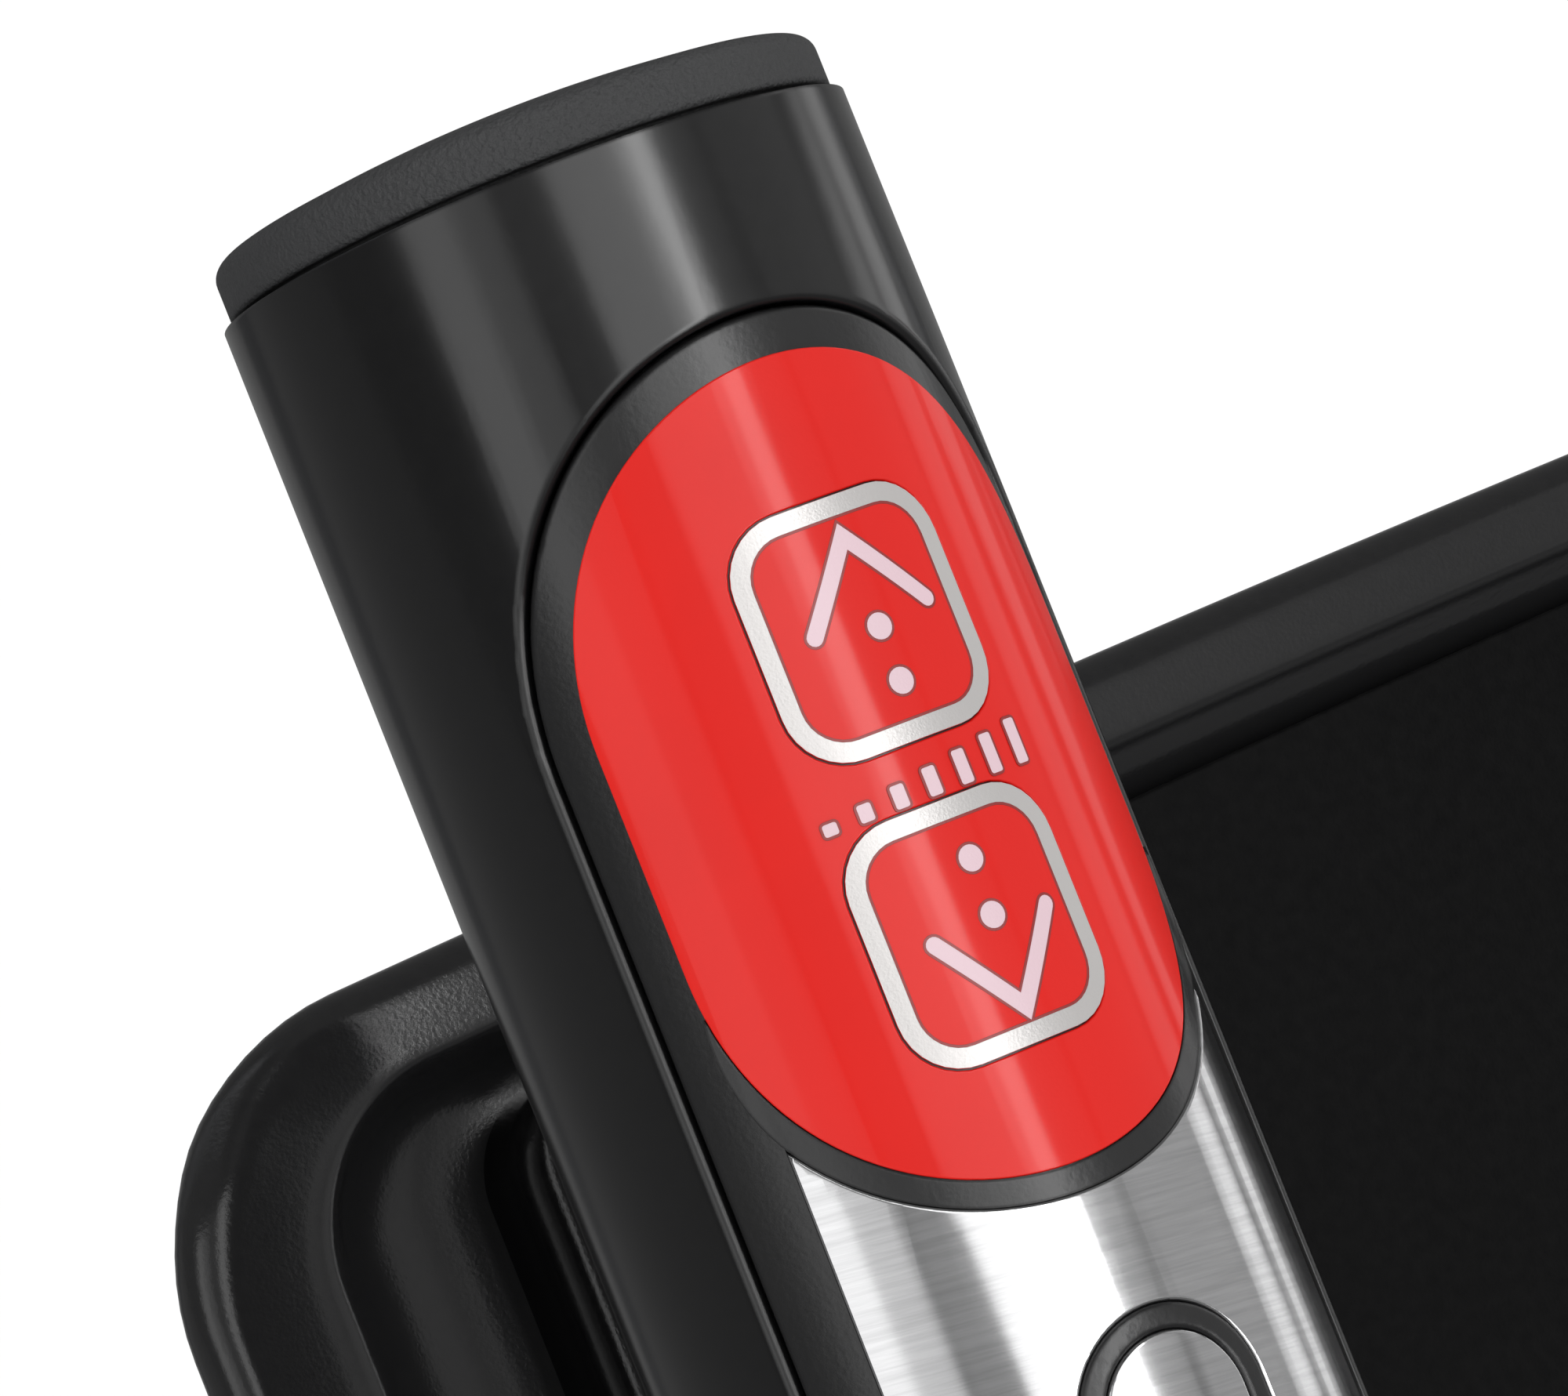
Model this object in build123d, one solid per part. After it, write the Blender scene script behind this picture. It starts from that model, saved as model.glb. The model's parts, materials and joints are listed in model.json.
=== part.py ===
"""Vertical climber with a motor-driven incline, as separate sub-parts.

Frame: +X to the user's right, +Y away from the user, +Z up, millimetres.
Origin: on the floor, at the middle of the footprint.
The user stands on the two pedals at -Y and faces the mast. The arms run up and down the mast
in opposite steps. The mast tilts away from the user on the pivot at its foot.
"""
from build123d import *
import os
from math import asin, cos, degrees, hypot, pi, radians, sin

# ---------------------------------------------------------------- driving dimensions
# Base frame
FRAME_FOOT = 12.0           # height of the rubber feet
BAR_H = 50.0                # height of the floor tubes
BAR_W = 60.0                # width of the cross tubes
BAR_HALF_LENGTH = 300.0     # half length of the cross tubes
SPINE_HALF = 50.0           # half width of the spine tube
TUBE_WALL = 3.0
FRONT_BAR_Y = -520.0        # middle of the front cross tube
WHEEL_R = 28.0
WHEEL_W = 22.0
WHEEL_X = 225.0
WHEEL_Y = -585.0
WHEEL_Z = 32.0
REAR_FACE_Y = -(WHEEL_Y - WHEEL_R)      # the footprint is centred on the origin
REAR_BAR_Y = REAR_FACE_Y - BAR_W / 2
BAR_TOP = FRAME_FOOT + BAR_H

# Mast and its pivot
PIVOT_Z = 115.0
PIVOT_R = 12.0
MAST_HALF_X = 40.0
MAST_HALF_Y = 45.0
MAST_WALL = 4.0
MAST_BOTTOM = 95.0
MAST_TOP = 1280.0

# Rails and carriages
RAIL_BOTTOM, RAIL_TOP = 235.0, 900.0
RAIL_WEB_OUT = 58.0
RAIL_FLANGE_OUT = 70.0
RAIL_FLANGE_HALF = 28.0
RAIL_WEB_HALF = 6.0
CARRIAGE_HALF = 110.0       # half length of a carriage
LINER_T = 3.2
RUN_GAP = 0.3               # running gap between liner and rail
CARRIAGE_MID = 560.0        # carriage centre at mid travel
ARM_STEP = 100.0            # how far each arm stands from mid travel at rest

# Arms, pedals and hand posts
ARM_X = 255.0
ARM_HALF = 20.0
ARM_BELOW, ARM_ABOVE = 290.0, 520.0
STRUT_HALF = 15.0
STRUT_RISE = 75.0           # height of each strut above and below the carriage centre
CARRIAGE_OUT = 84.0         # outer face of a carriage
PEDAL_DROP = 190.0          # pedal top below the carriage centre
PEDAL_T = 14.0
PEDAL_INNER = 108.0         # inner edge of the foot plate
PEDAL_Y0, PEDAL_Y1 = -335.0, ARM_HALF
POST_HALF = 16.7
POST_FOOT = 230.0           # post foot above the carriage centre
GRIP_RISE = 1120.0          # hand bar above the carriage centre
HAND_BAR_R = 14.0
HAND_BAR_TILT = 8.0
KNOB_RISE = 497.0

# Belt drive
PULLEY_LOW_Z, PULLEY_HIGH_Z = 230.0, 930.0
PULLEY_R = 45.0
PULLEY_Y0, PULLEY_Y1 = 53.0, 71.0
SHAFT_R = 8.0
FLYWHEEL_R = 120.0

# Incline actuator: base pin, mast pin and bore sizes
ACT_BASE = (400.0, 100.0)   # y, z
ACT_MAST = (95.0, 560.0)    # y, z
ACT_PIN_R = 8.0
ACT_OPEN_GAP = 1.6          # play at the opened pivot

# Fixed handles: each grip lies in a plane of constant X and rises away from the user
HORN_X, HORN_Y, HORN_Z = -185.0, -138.0, 1501.0     # rim of the left grip, on its axis
HORN_RISE = 47.0            # degrees above the horizontal
GRIP_R = 19.0
GRIP_BORE_R = 16.0
GRIP_LENGTH = 165.0
BAR_TUBE_R = 15.9
BAR_TUBE_WALL = 2.0

# Keypad and pulse contacts, as arc lengths round the grip and heights below its rim
CARRIER_ARC, CARRIER_TOP, CARRIER_END = 20.2, -11.2, -157.0
PAD_ARC, PAD_TOP, PAD_END = 17.05, -13.9, -61.1
KEY_ARC, KEY_H, KEY_CORNER = 6.65, 14.2, 3.3
KEY_Z = {"up": -29.45, "down": -47.15}
KEY_GAP = 0.3
KEY_TRAVEL = 0.6
BEZEL_W = 1.5
PLATE_ARC, PLATE_TOP, PLATE_END = 16.0, -54.8, -146.0
ISLAND_ARC, ISLAND_TOP, ISLAND_END = 4.5, -71.2, -136.5

# Console, in the plane of the grips: W runs along the grip axis, from the level of its rim
CONSOLE_GAP = 65.0          # grip axis to console face
CONSOLE_HALF = 208.0
CONSOLE_W_SIDE, CONSOLE_W_LOW = -32.2, -245.0
CONSOLE_CROWN = 6.6         # rise of the top edge towards the middle
CONSOLE_CORNER = 22.0
BEZEL_T = 18.0
BEZEL_DRAW = 11.5           # how far the bezel draws in over its depth
CONSOLE_DEPTH = 60.0
BACK_DRAW = 30.0            # the same, at the console's back face
RIM_SIDE, RIM_TOP = 14.5, 10.5
PANEL_HALF = 179.0
PANEL_INSET_TOP = 13.6

CLAMP_Y, CLAMP_Z = -80.0, 1165.0

PARTS = {}


# ---------------------------------------------------------------- helpers
def block(x0, x1, y0, y1, z0, z1):
    """A box between two corners."""
    return Pos((x0 + x1) / 2, (y0 + y1) / 2, (z0 + z1) / 2) * Box(x1 - x0, y1 - y0, z1 - z0)


def rod_x(r, x0, x1, y, z):
    return Pos((x0 + x1) / 2, y, z) * Rot(0, 90, 0) * Cylinder(r, x1 - x0)


def rod_y(r, y0, y1, x, z):
    return Pos(x, (y0 + y1) / 2, z) * Rot(90, 0, 0) * Cylinder(r, y1 - y0)


def rod_z(r, z0, z1, x=0.0, y=0.0):
    return Pos(x, y, (z0 + z1) / 2) * Cylinder(r, z1 - z0)


def slab_x(points, x0, x1):
    """A plate whose outline is given as (y, z) points, between two X values."""
    outline = make_face(Polyline(*points, close=True))
    return Pos(x0, 0, 0) * extrude(Plane.YZ * outline, amount=x1 - x0)


def mirrored(shape):
    return mirror(shape, about=Plane.YZ)


def both_sides(shape):
    return shape + mirrored(shape)


def add_pair(name, shape):
    """Keeps a part of the left side and its mirror image on the right."""
    PARTS["left_" + name] = shape
    PARTS["right_" + name] = mirrored(shape)


# ---------------------------------------------------------------- base frame
def floor_bar(y_mid):
    outer = block(-BAR_HALF_LENGTH, BAR_HALF_LENGTH, y_mid - BAR_W / 2, y_mid + BAR_W / 2,
                  FRAME_FOOT, BAR_TOP)
    outer = fillet(outer.edges().filter_by(Axis.X), 6)
    bore = block(-BAR_HALF_LENGTH, BAR_HALF_LENGTH, y_mid - BAR_W / 2 + TUBE_WALL,
                 y_mid + BAR_W / 2 - TUBE_WALL, FRAME_FOOT + TUBE_WALL, BAR_TOP - TUBE_WALL)
    return outer - bore


def base_spine():
    """Spine tube with the welded ears of the mast pivot and of the actuator."""
    y0, y1 = FRONT_BAR_Y + BAR_W / 2, REAR_BAR_Y - BAR_W / 2
    tube = block(-SPINE_HALF, SPINE_HALF, y0, y1, FRAME_FOOT, BAR_TOP)
    tube = fillet(tube.edges().filter_by(Axis.Y), 6)
    tube -= block(-SPINE_HALF + TUBE_WALL, SPINE_HALF - TUBE_WALL, y0, y1,
                  FRAME_FOOT + TUBE_WALL, BAR_TOP - TUBE_WALL)
    ear = slab_x([(-55, BAR_TOP - 1), (55, BAR_TOP - 1), (26, PIVOT_Z + 22), (-26, PIVOT_Z + 22)], 42, 50)
    ear = fillet(ear.edges().filter_by(Axis.X).group_by(Axis.Z)[-1], 14)
    ear -= rod_x(PIVOT_R, 41, 51, 0, PIVOT_Z)
    act_y, act_z = ACT_BASE
    lug = slab_x([(act_y - 34, BAR_TOP - 1), (act_y + 34, BAR_TOP - 1), (act_y + 18, act_z + 18),
                  (act_y - 18, act_z + 18)], 22, 30)
    lug = fillet(lug.edges().filter_by(Axis.X).group_by(Axis.Z)[-1], 10)
    lug -= rod_x(ACT_PIN_R, 21, 31, act_y, act_z)
    return tube + both_sides(ear) + both_sides(lug)


def base_feet():
    """Four rubber shoes: a pad under each tube end and a cap over it."""
    shoes = []
    for y_mid in (FRONT_BAR_Y, REAR_BAR_Y):
        half = BAR_W / 2
        pad = block(246, BAR_HALF_LENGTH + 8, y_mid - half, y_mid + half, 0, FRAME_FOOT)
        cap = block(BAR_HALF_LENGTH, BAR_HALF_LENGTH + 8, y_mid - half, y_mid + half, 0, BAR_TOP)
        shoe = pad + cap
        shoe = fillet(shoe.edges().filter_by(Axis.Z).group_by(Axis.X)[-1], 6)
        shoes += [shoe, mirrored(shoe)]
    return Compound(shoes)


def headed_pin(r, half, y, z):
    """A pin along X with a low head at each end."""
    head = r + 4
    pin = rod_x(r, -half, half, y, z)
    return pin + both_sides(rod_x(head, half, half + 5, y, z))


def base_pins():
    return Compound([headed_pin(PIVOT_R, 50.2, 0, PIVOT_Z), headed_pin(ACT_PIN_R, 30.2, *ACT_BASE)])


def wheel_forks():
    """Forks on the front tube, each with its axle."""
    forks = []
    for side in (-1, 1):
        x = side * WHEEL_X
        cheek = WHEEL_W / 2 + 1.0
        front = FRONT_BAR_Y - BAR_W / 2
        plates = block(x - cheek - 4, x - cheek, WHEEL_Y - 14, front, 18, 50)
        plates += block(x + cheek, x + cheek + 4, WHEEL_Y - 14, front, 18, 50)
        plates += rod_x(4.0, x - cheek - 7, x + cheek + 7, WHEEL_Y, WHEEL_Z)
        forks.append(plates)
    return Compound(forks)


def transport_wheel(side):
    x = side * WHEEL_X
    wheel = rod_x(WHEEL_R, x - WHEEL_W / 2, x + WHEEL_W / 2, WHEEL_Y, WHEEL_Z)
    wheel = fillet(wheel.edges().filter_by(GeomType.CIRCLE), 4)
    dish = rod_x(18, x + WHEEL_W / 2 - 4, x + WHEEL_W / 2, WHEEL_Y, WHEEL_Z)
    dish += rod_x(18, x - WHEEL_W / 2, x - WHEEL_W / 2 + 4, WHEEL_Y, WHEEL_Z)
    hub = rod_x(8, x - WHEEL_W / 2, x + WHEEL_W / 2, WHEEL_Y, WHEEL_Z)
    return wheel - dish + hub - rod_x(4.08, x - 20, x + 20, WHEEL_Y, WHEEL_Z)


# ---------------------------------------------------------------- mast
def mast():
    """Box tube with the pivot bush across its foot, and two plates welded to its back as a clevis."""
    tube = block(-MAST_HALF_X, MAST_HALF_X, -MAST_HALF_Y, MAST_HALF_Y, MAST_BOTTOM, MAST_TOP)
    tube = fillet(tube.edges().filter_by(Axis.Z), 8)
    tube -= block(-MAST_HALF_X + MAST_WALL, MAST_HALF_X - MAST_WALL, -MAST_HALF_Y + MAST_WALL,
                  MAST_HALF_Y - MAST_WALL, MAST_BOTTOM, MAST_TOP)
    tube += rod_x(19, -MAST_HALF_X, MAST_HALF_X, 0, PIVOT_Z)
    tube -= rod_x(PIVOT_R + 0.08, -MAST_HALF_X, MAST_HALF_X, 0, PIVOT_Z)
    for z in (PULLEY_LOW_Z, PULLEY_HIGH_Z):
        tube -= rod_y(12, -MAST_HALF_Y, MAST_HALF_Y, 0, z)
    pin_y, pin_z = ACT_MAST
    ear = slab_x([(MAST_HALF_Y, pin_z - 34), (pin_y, pin_z - 17), (pin_y + 17, pin_z),
                  (pin_y, pin_z + 17), (MAST_HALF_Y, pin_z + 34)], 17, 24)
    ear -= rod_x(ACT_PIN_R, 16, 25, pin_y, pin_z)
    return Compound([tube, ear, mirrored(ear)])


def guide_rails():
    web = block(MAST_HALF_X, RAIL_WEB_OUT, -RAIL_WEB_HALF, RAIL_WEB_HALF, RAIL_BOTTOM, RAIL_TOP)
    flange = block(RAIL_WEB_OUT, RAIL_FLANGE_OUT, -RAIL_FLANGE_HALF, RAIL_FLANGE_HALF,
                   RAIL_BOTTOM, RAIL_TOP)
    rail = web + flange
    return Compound([rail, mirrored(rail)])


def mast_cap():
    skirt = block(-MAST_HALF_X + MAST_WALL, MAST_HALF_X - MAST_WALL, -MAST_HALF_Y + MAST_WALL,
                  MAST_HALF_Y - MAST_WALL, MAST_TOP - 18, MAST_TOP)
    lid = block(-MAST_HALF_X, MAST_HALF_X, -MAST_HALF_Y, MAST_HALF_Y, MAST_TOP, MAST_TOP + 14)
    lid = fillet(lid.edges().filter_by(Axis.Z), 8)
    return skirt + fillet(lid.edges().group_by(Axis.Z)[-1], 6)


# ---------------------------------------------------------------- belt drive
def shaft_bearings():
    """Flanged bearings on the mast's faces, one each end of both shafts."""
    rings = []
    for z in (PULLEY_LOW_Z, PULLEY_HIGH_Z):
        for y0 in (MAST_HALF_Y, -MAST_HALF_Y - 6):
            rings.append(rod_y(19, y0, y0 + 6, 0, z) - rod_y(SHAFT_R + 0.06, y0, y0 + 6, 0, z))
    return Compound(rings)


def pulley(z, tail):
    """A flanged belt pulley with its shaft. The shaft runs back as far as tail."""
    wheel = rod_y(PULLEY_R, PULLEY_Y0 - 1.0, PULLEY_Y1 + 1.0, 0, z)
    for k in range(6):
        spoke = radians(60 * k)
        wheel -= rod_y(9, PULLEY_Y0 - 2, PULLEY_Y1 + 2, 28 * cos(spoke), z + 28 * sin(spoke))
    return wheel + rod_y(SHAFT_R, -MAST_HALF_Y - 10, tail, 0, z)


def flywheel():
    """Heavy disc on the tail of the lower shaft."""
    disc = rod_y(FLYWHEEL_R, 86, 103, 0, PULLEY_LOW_Z)
    disc -= rod_y(90, 92, 103, 0, PULLEY_LOW_Z) - rod_y(26, 92, 103, 0, PULLEY_LOW_Z)
    return disc - rod_y(SHAFT_R, 85, 104, 0, PULLEY_LOW_Z)


def drive_belt():
    inner, outer = PULLEY_R + 0.4, PULLEY_R + 4.4

    def loop(r):
        body = block(-r, r, PULLEY_Y0, PULLEY_Y1, PULLEY_LOW_Z, PULLEY_HIGH_Z)
        body += rod_y(r, PULLEY_Y0, PULLEY_Y1, 0, PULLEY_LOW_Z)
        return body + rod_y(r, PULLEY_Y0, PULLEY_Y1, 0, PULLEY_HIGH_Z)

    return loop(outer) - loop(inner)


def drive_cover():
    """Round cover over the flywheel, carried on two feet on the mast's back face."""
    shell = rod_y(134, 80, 118, 0, PULLEY_LOW_Z)
    shell = fillet(shell.edges().filter_by(GeomType.CIRCLE).sort_by(Axis.Y)[-1], 10)
    shell -= rod_y(131, 83, 114, 0, PULLEY_LOW_Z)
    shell -= rod_y(28, 79, 84, 0, PULLEY_LOW_Z)
    foot = block(12, 30, MAST_HALF_Y, 80, 296, 326)
    return shell + both_sides(foot)


def brake_magnet():
    bar = block(-34, 34, 104.5, 114, 292, 342)
    return bar + block(-34, 34, 104.5, 114, 118, 168)


# ---------------------------------------------------------------- arms
def carriage(zc):
    """C-shaped block that wraps the rail, with the jaw that holds the belt."""
    z0, z1 = zc - CARRIAGE_HALF, zc + CARRIAGE_HALF
    half = RAIL_FLANGE_HALF + RUN_GAP + LINER_T
    body = block(47, CARRIAGE_OUT, -42, 42, z0, z1)
    body = fillet(body.edges().filter_by(Axis.Z), 4)
    body -= block(RAIL_WEB_OUT - RUN_GAP - LINER_T, RAIL_FLANGE_OUT + RUN_GAP + LINER_T, -half, half, z0, z1)
    body -= block(46, 60, -12, 12, z0, z1)
    jaw = block(50.2, 58, 41, 78, zc - 30, zc + 30)
    jaw += block(37, 58, 72.2, 78, zc - 30, zc + 30)
    return body + jaw + block(37, 44.6, 54, 78, zc - 30, zc + 30)


def slide_liner(zc):
    """Two low-friction sleeves between the carriage and the rail."""
    half = RAIL_FLANGE_HALF + RUN_GAP
    sleeves = []
    for z0 in (zc - CARRIAGE_HALF, zc + CARRIAGE_HALF - 60):
        z1 = z0 + 60
        ring = block(RAIL_WEB_OUT - RUN_GAP - LINER_T, RAIL_FLANGE_OUT + RUN_GAP + LINER_T,
                     -half - LINER_T, half + LINER_T, z0, z1)
        ring -= block(RAIL_WEB_OUT - RUN_GAP, RAIL_FLANGE_OUT + RUN_GAP, -half, half, z0, z1)
        sleeves.append(ring - block(50, 60, -12, 12, z0, z1))
    return Compound(sleeves)


def arm_frame(zc):
    """Square tube from the pedal up to the hand post, on two struts and a plate at the carriage."""
    z0, z1 = zc - ARM_BELOW, zc + ARM_ABOVE
    x0, x1 = ARM_X - ARM_HALF, ARM_X + ARM_HALF
    knob_z = zc + KNOB_RISE
    tube = block(x0, x1, -ARM_HALF, ARM_HALF, z0, z1)
    tube = fillet(tube.edges().filter_by(Axis.Z), 4)
    tube += rod_x(11, x1 - 1, x1 + 12, 0, knob_z)
    tube -= block(x0 + 3, x1 - 3, -ARM_HALF + 3, ARM_HALF - 3, z0 + 4, z1)
    tube -= rod_x(5.0, x1 - 4, x1 + 13, 0, knob_z)
    for rise in (-STRUT_RISE, STRUT_RISE):
        z = zc + rise
        strut = block(CARRIAGE_OUT + 6, x0, -STRUT_HALF, STRUT_HALF, z - STRUT_HALF, z + STRUT_HALF)
        bore = block(CARRIAGE_OUT + 6, x0, 2.5 - STRUT_HALF, STRUT_HALF - 2.5,
                     z - STRUT_HALF + 2.5, z + STRUT_HALF - 2.5)
        tube += strut - bore
    return tube + block(CARRIAGE_OUT, CARRIAGE_OUT + 6, -36, 36, zc - 100, zc + 100)


def pedal(zc):
    """Foot plate with a low rim on three sides and a web under it, beside the arm tube."""
    top = zc - PEDAL_DROP
    low = top - PEDAL_T
    outer = ARM_X - ARM_HALF
    plate = block(PEDAL_INNER, outer, PEDAL_Y0, PEDAL_Y1, low, top)
    plate = fillet(plate.edges().filter_by(Axis.Z).group_by(Axis.Y)[0], 22)
    rim = block(PEDAL_INNER, outer, PEDAL_Y0 + 60, PEDAL_Y1, top, top + 16)
    rim -= block(PEDAL_INNER + 5, outer - 5, PEDAL_Y0 + 59, PEDAL_Y1 - 5, top, top + 17)
    web = slab_x([(PEDAL_Y1, low), (PEDAL_Y1, low - 78), (PEDAL_Y0 + 70, low)], outer - 12, outer)
    return plate + rim + web


def bar_frame(zc):
    """The hand bar's own frame: Z along the bar, towards the user."""
    tilt = radians(HAND_BAR_TILT)
    return Location(Plane(origin=(ARM_X, 0, zc + GRIP_RISE), x_dir=(1, 0, 0),
                          z_dir=(0, -cos(tilt), sin(tilt))))


def hand_post(zc):
    """Square post that telescopes in the arm tube, with the bar welded across its head."""
    z0, z1 = zc + POST_FOOT, zc + GRIP_RISE + 4
    post = block(ARM_X - POST_HALF, ARM_X + POST_HALF, -POST_HALF, POST_HALF, z0, z1)
    post = fillet(post.edges().filter_by(Axis.Z), 3)
    post -= block(ARM_X - POST_HALF + 2.5, ARM_X + POST_HALF - 2.5, -POST_HALF + 2.5,
                  POST_HALF - 2.5, z0, z1 - 4)
    return post + bar_frame(zc) * rod_z(HAND_BAR_R, -22, 186)


def hand_sleeve(zc):
    """Foam sleeve over the bar, with a closed end."""
    sleeve = rod_z(HAND_BAR_R + 5, 26, 190)
    sleeve = fillet(sleeve.edges().filter_by(GeomType.CIRCLE), 3.5)
    return bar_frame(zc) * (sleeve - rod_z(HAND_BAR_R, 26, 186))


def clamp_knob(zc):
    """Six-lobed knob with its screw."""
    z = zc + KNOB_RISE
    x_face = ARM_X + ARM_HALF + 13
    head = rod_x(24, x_face, x_face + 20, 0, z)
    for k in range(6):
        turn = radians(60 * k + 30)
        head -= rod_x(7, x_face, x_face + 20, 29 * cos(turn), z + 29 * sin(turn))
    return head + rod_x(4.9, ARM_X + POST_HALF + 0.5, x_face + 1, 0, z)


def add_arm(side, zc):
    makers = {"carriage": carriage, "slide_liner": slide_liner, "arm_frame": arm_frame, "pedal": pedal,
              "hand_post": hand_post, "hand_sleeve": hand_sleeve, "clamp_knob": clamp_knob}
    for name, make in makers.items():
        shape = make(zc)
        PARTS[f"{side}_{name}"] = shape if side == "right" else mirrored(shape)


# ---------------------------------------------------------------- incline actuator
def actuator_frame():
    """Z along the actuator, from its base pin to the mast pin."""
    (y0, z0), (y1, z1) = ACT_BASE, ACT_MAST
    return Location(Plane(origin=(0, y0, z0), x_dir=(1, 0, 0), z_dir=(0, y1 - y0, z1 - z0)))


ACT_LENGTH = hypot(ACT_MAST[0] - ACT_BASE[0], ACT_MAST[1] - ACT_BASE[1])


def actuator_tube():
    eye = rod_x(17, -20, 20, 0, 0) + block(-16, 16, -17, 17, 0, 26)
    tube = rod_z(20, 24, 330) - rod_z(11.3, 60, 330)
    return actuator_frame() * (eye + tube - rod_x(ACT_PIN_R + 0.08, -20, 20, 0, 0))


def incline_motor():
    """Motor beside the tube on a gearbox that grips the tube's foot."""
    offset = -56.0
    gearbox = block(-30, 30, offset - 30, 28, 28, 66)
    gearbox = fillet(gearbox.edges().filter_by(Axis.Z), 10)
    gearbox -= rod_z(20, 28, 66)
    motor = rod_z(29, 66, 186, 0, offset)
    motor = fillet(motor.edges().filter_by(GeomType.CIRCLE).sort_by(Axis.Z)[-1], 5)
    return actuator_frame() * (gearbox + motor)


def actuator_rod():
    end = ACT_LENGTH
    rod = rod_z(11, end - 260, end - 12)
    eye = rod_x(19, -15, 15, 0, end)
    return actuator_frame() * (rod + eye - rod_x(ACT_PIN_R + ACT_OPEN_GAP, -16, 16, 0, end))


# ---------------------------------------------------------------- fixed handles
RISE = radians(HORN_RISE)
ALONG = Vector(0, cos(RISE), sin(RISE))         # grip axis, towards its tip
FACING = Vector(0, -sin(RISE), cos(RISE))       # way the keypad faces
HORN = Plane(origin=(HORN_X, HORN_Y, HORN_Z), x_dir=FACING, z_dir=ALONG)


def on_horn(shape):
    return Location(HORN) * shape


def across(arc):
    """Half chord of the grip that an arc from the keypad's middle line stands on."""
    return GRIP_R * sin(arc / GRIP_R)


def round_end(arc, z_centre, sense):
    """Half circle of radius arc, as it lies when it is wrapped round the grip."""
    steps = 12
    points = []
    for k in range(steps + 1):
        turn = pi * k / steps
        points.append((across(arc * cos(turn)), z_centre + sense * arc * sin(turn)))
    return Spline(*points, tangents=[(0, sense), (0, -sense)])


def slot_prism(arc, top, end):
    """Prism along X over a slot with round ends that is wrapped round the grip."""
    upper, lower = top - arc, end + arc
    half = across(arc)
    outline = Curve() + [round_end(arc, upper, 1), Line((-half, upper), (-half, lower)),
                         round_end(arc, lower, -1), Line((half, lower), (half, upper))]
    return Pos(7.5, 0, 0) * extrude(Plane.YZ * make_face(outline), amount=16)


def pad_prism(half_w, height, z_mid, corner):
    """Prism along X over a rounded rectangle."""
    outline = Pos(0, z_mid) * RectangleRounded(2 * half_w, height, corner)
    return Pos(7.5, 0, 0) * extrude(Plane.YZ * outline, amount=16)


def wall(r0, r1, z0, z1):
    return rod_z(r1, z0, z1) - rod_z(r0, z0, z1)


def key_prism(name, gap=0.0):
    return pad_prism(across(KEY_ARC) + gap, KEY_H + 2 * gap, KEY_Z[name], KEY_CORNER + gap)


def grip_shell():
    tube = wall(GRIP_BORE_R, GRIP_R, -GRIP_LENGTH, 0)
    rims = tube.edges().filter_by(GeomType.CIRCLE).sort_by(SortBy.RADIUS)[-2:]
    tube = chamfer(rims, 0.9)
    tube -= slot_prism(CARRIER_ARC, CARRIER_TOP, CARRIER_END)
    for z in (-120, -150):
        tube -= rod_x(2.05, -20, -15, 0, z) + rod_x(3.7, -20, -17.4, 0, z)
    return tube


def grip_end_cap():
    """Plug with a slightly drawn-in band and a low dome."""
    shadow, band_r, band_top, crown = 0.35, 18.4, 3.7, 5.4
    plug = rod_z(15.8, -14, 0.1)
    neck = rod_z(17.4, 0, shadow + 0.1)
    band = rod_z(band_r, shadow, band_top)
    band = fillet(band.edges().filter_by(GeomType.CIRCLE).sort_by(Axis.Z)[-1], 0.9)
    rise = crown - band_top
    face_r = band_r - 0.9
    ball_r = (face_r ** 2 + rise ** 2) / (2 * rise)
    dome = Pos(0, 0, crown - ball_r) * Sphere(ball_r) & rod_z(face_r, band_top - 0.5, crown + 1)
    return plug + neck + band + dome


def keypad_overlay():
    film = wall(18.6, 19.05, PAD_END - 1, PAD_TOP + 1) & slot_prism(PAD_ARC, PAD_TOP, PAD_END)
    return film - key_prism("up", KEY_GAP) - key_prism("down", KEY_GAP)


def key_cap(name):
    """Key with a stem that reaches the switch behind it."""
    cap = wall(17.3, 19.08, -62, -12) & key_prism(name)
    stem = rod_x(2.2, 13.4, 17.8, 0, KEY_Z[name])
    return cap + stem


def keypad_board():
    board = block(9.4, 11.0, -11, 11, -60, -16)
    for z in KEY_Z.values():
        board += block(11.0, 12.7, -3.1, 3.1, z - 3.1, z + 3.1)
    return board


def pulse_plate():
    """Outer contact: follows the keypad's lower end and leaves a window for the island."""
    half = across(PLATE_ARC)
    strip = pad_prism(half, PLATE_TOP - PLATE_END, (PLATE_TOP + PLATE_END) / 2, 1.0)
    sheet = wall(18.3, 19.1, PLATE_END - 1, PLATE_TOP + 1) & strip
    sheet -= slot_prism(PAD_ARC + BEZEL_W, PAD_TOP + BEZEL_W, PAD_END - BEZEL_W)
    return sheet - slot_prism(ISLAND_ARC + BEZEL_W, ISLAND_TOP + BEZEL_W, ISLAND_END - BEZEL_W)


def pulse_island():
    return wall(18.3, 19.1, ISLAND_END - 1, ISLAND_TOP + 1) & slot_prism(ISLAND_ARC, ISLAND_TOP, ISLAND_END)


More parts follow.
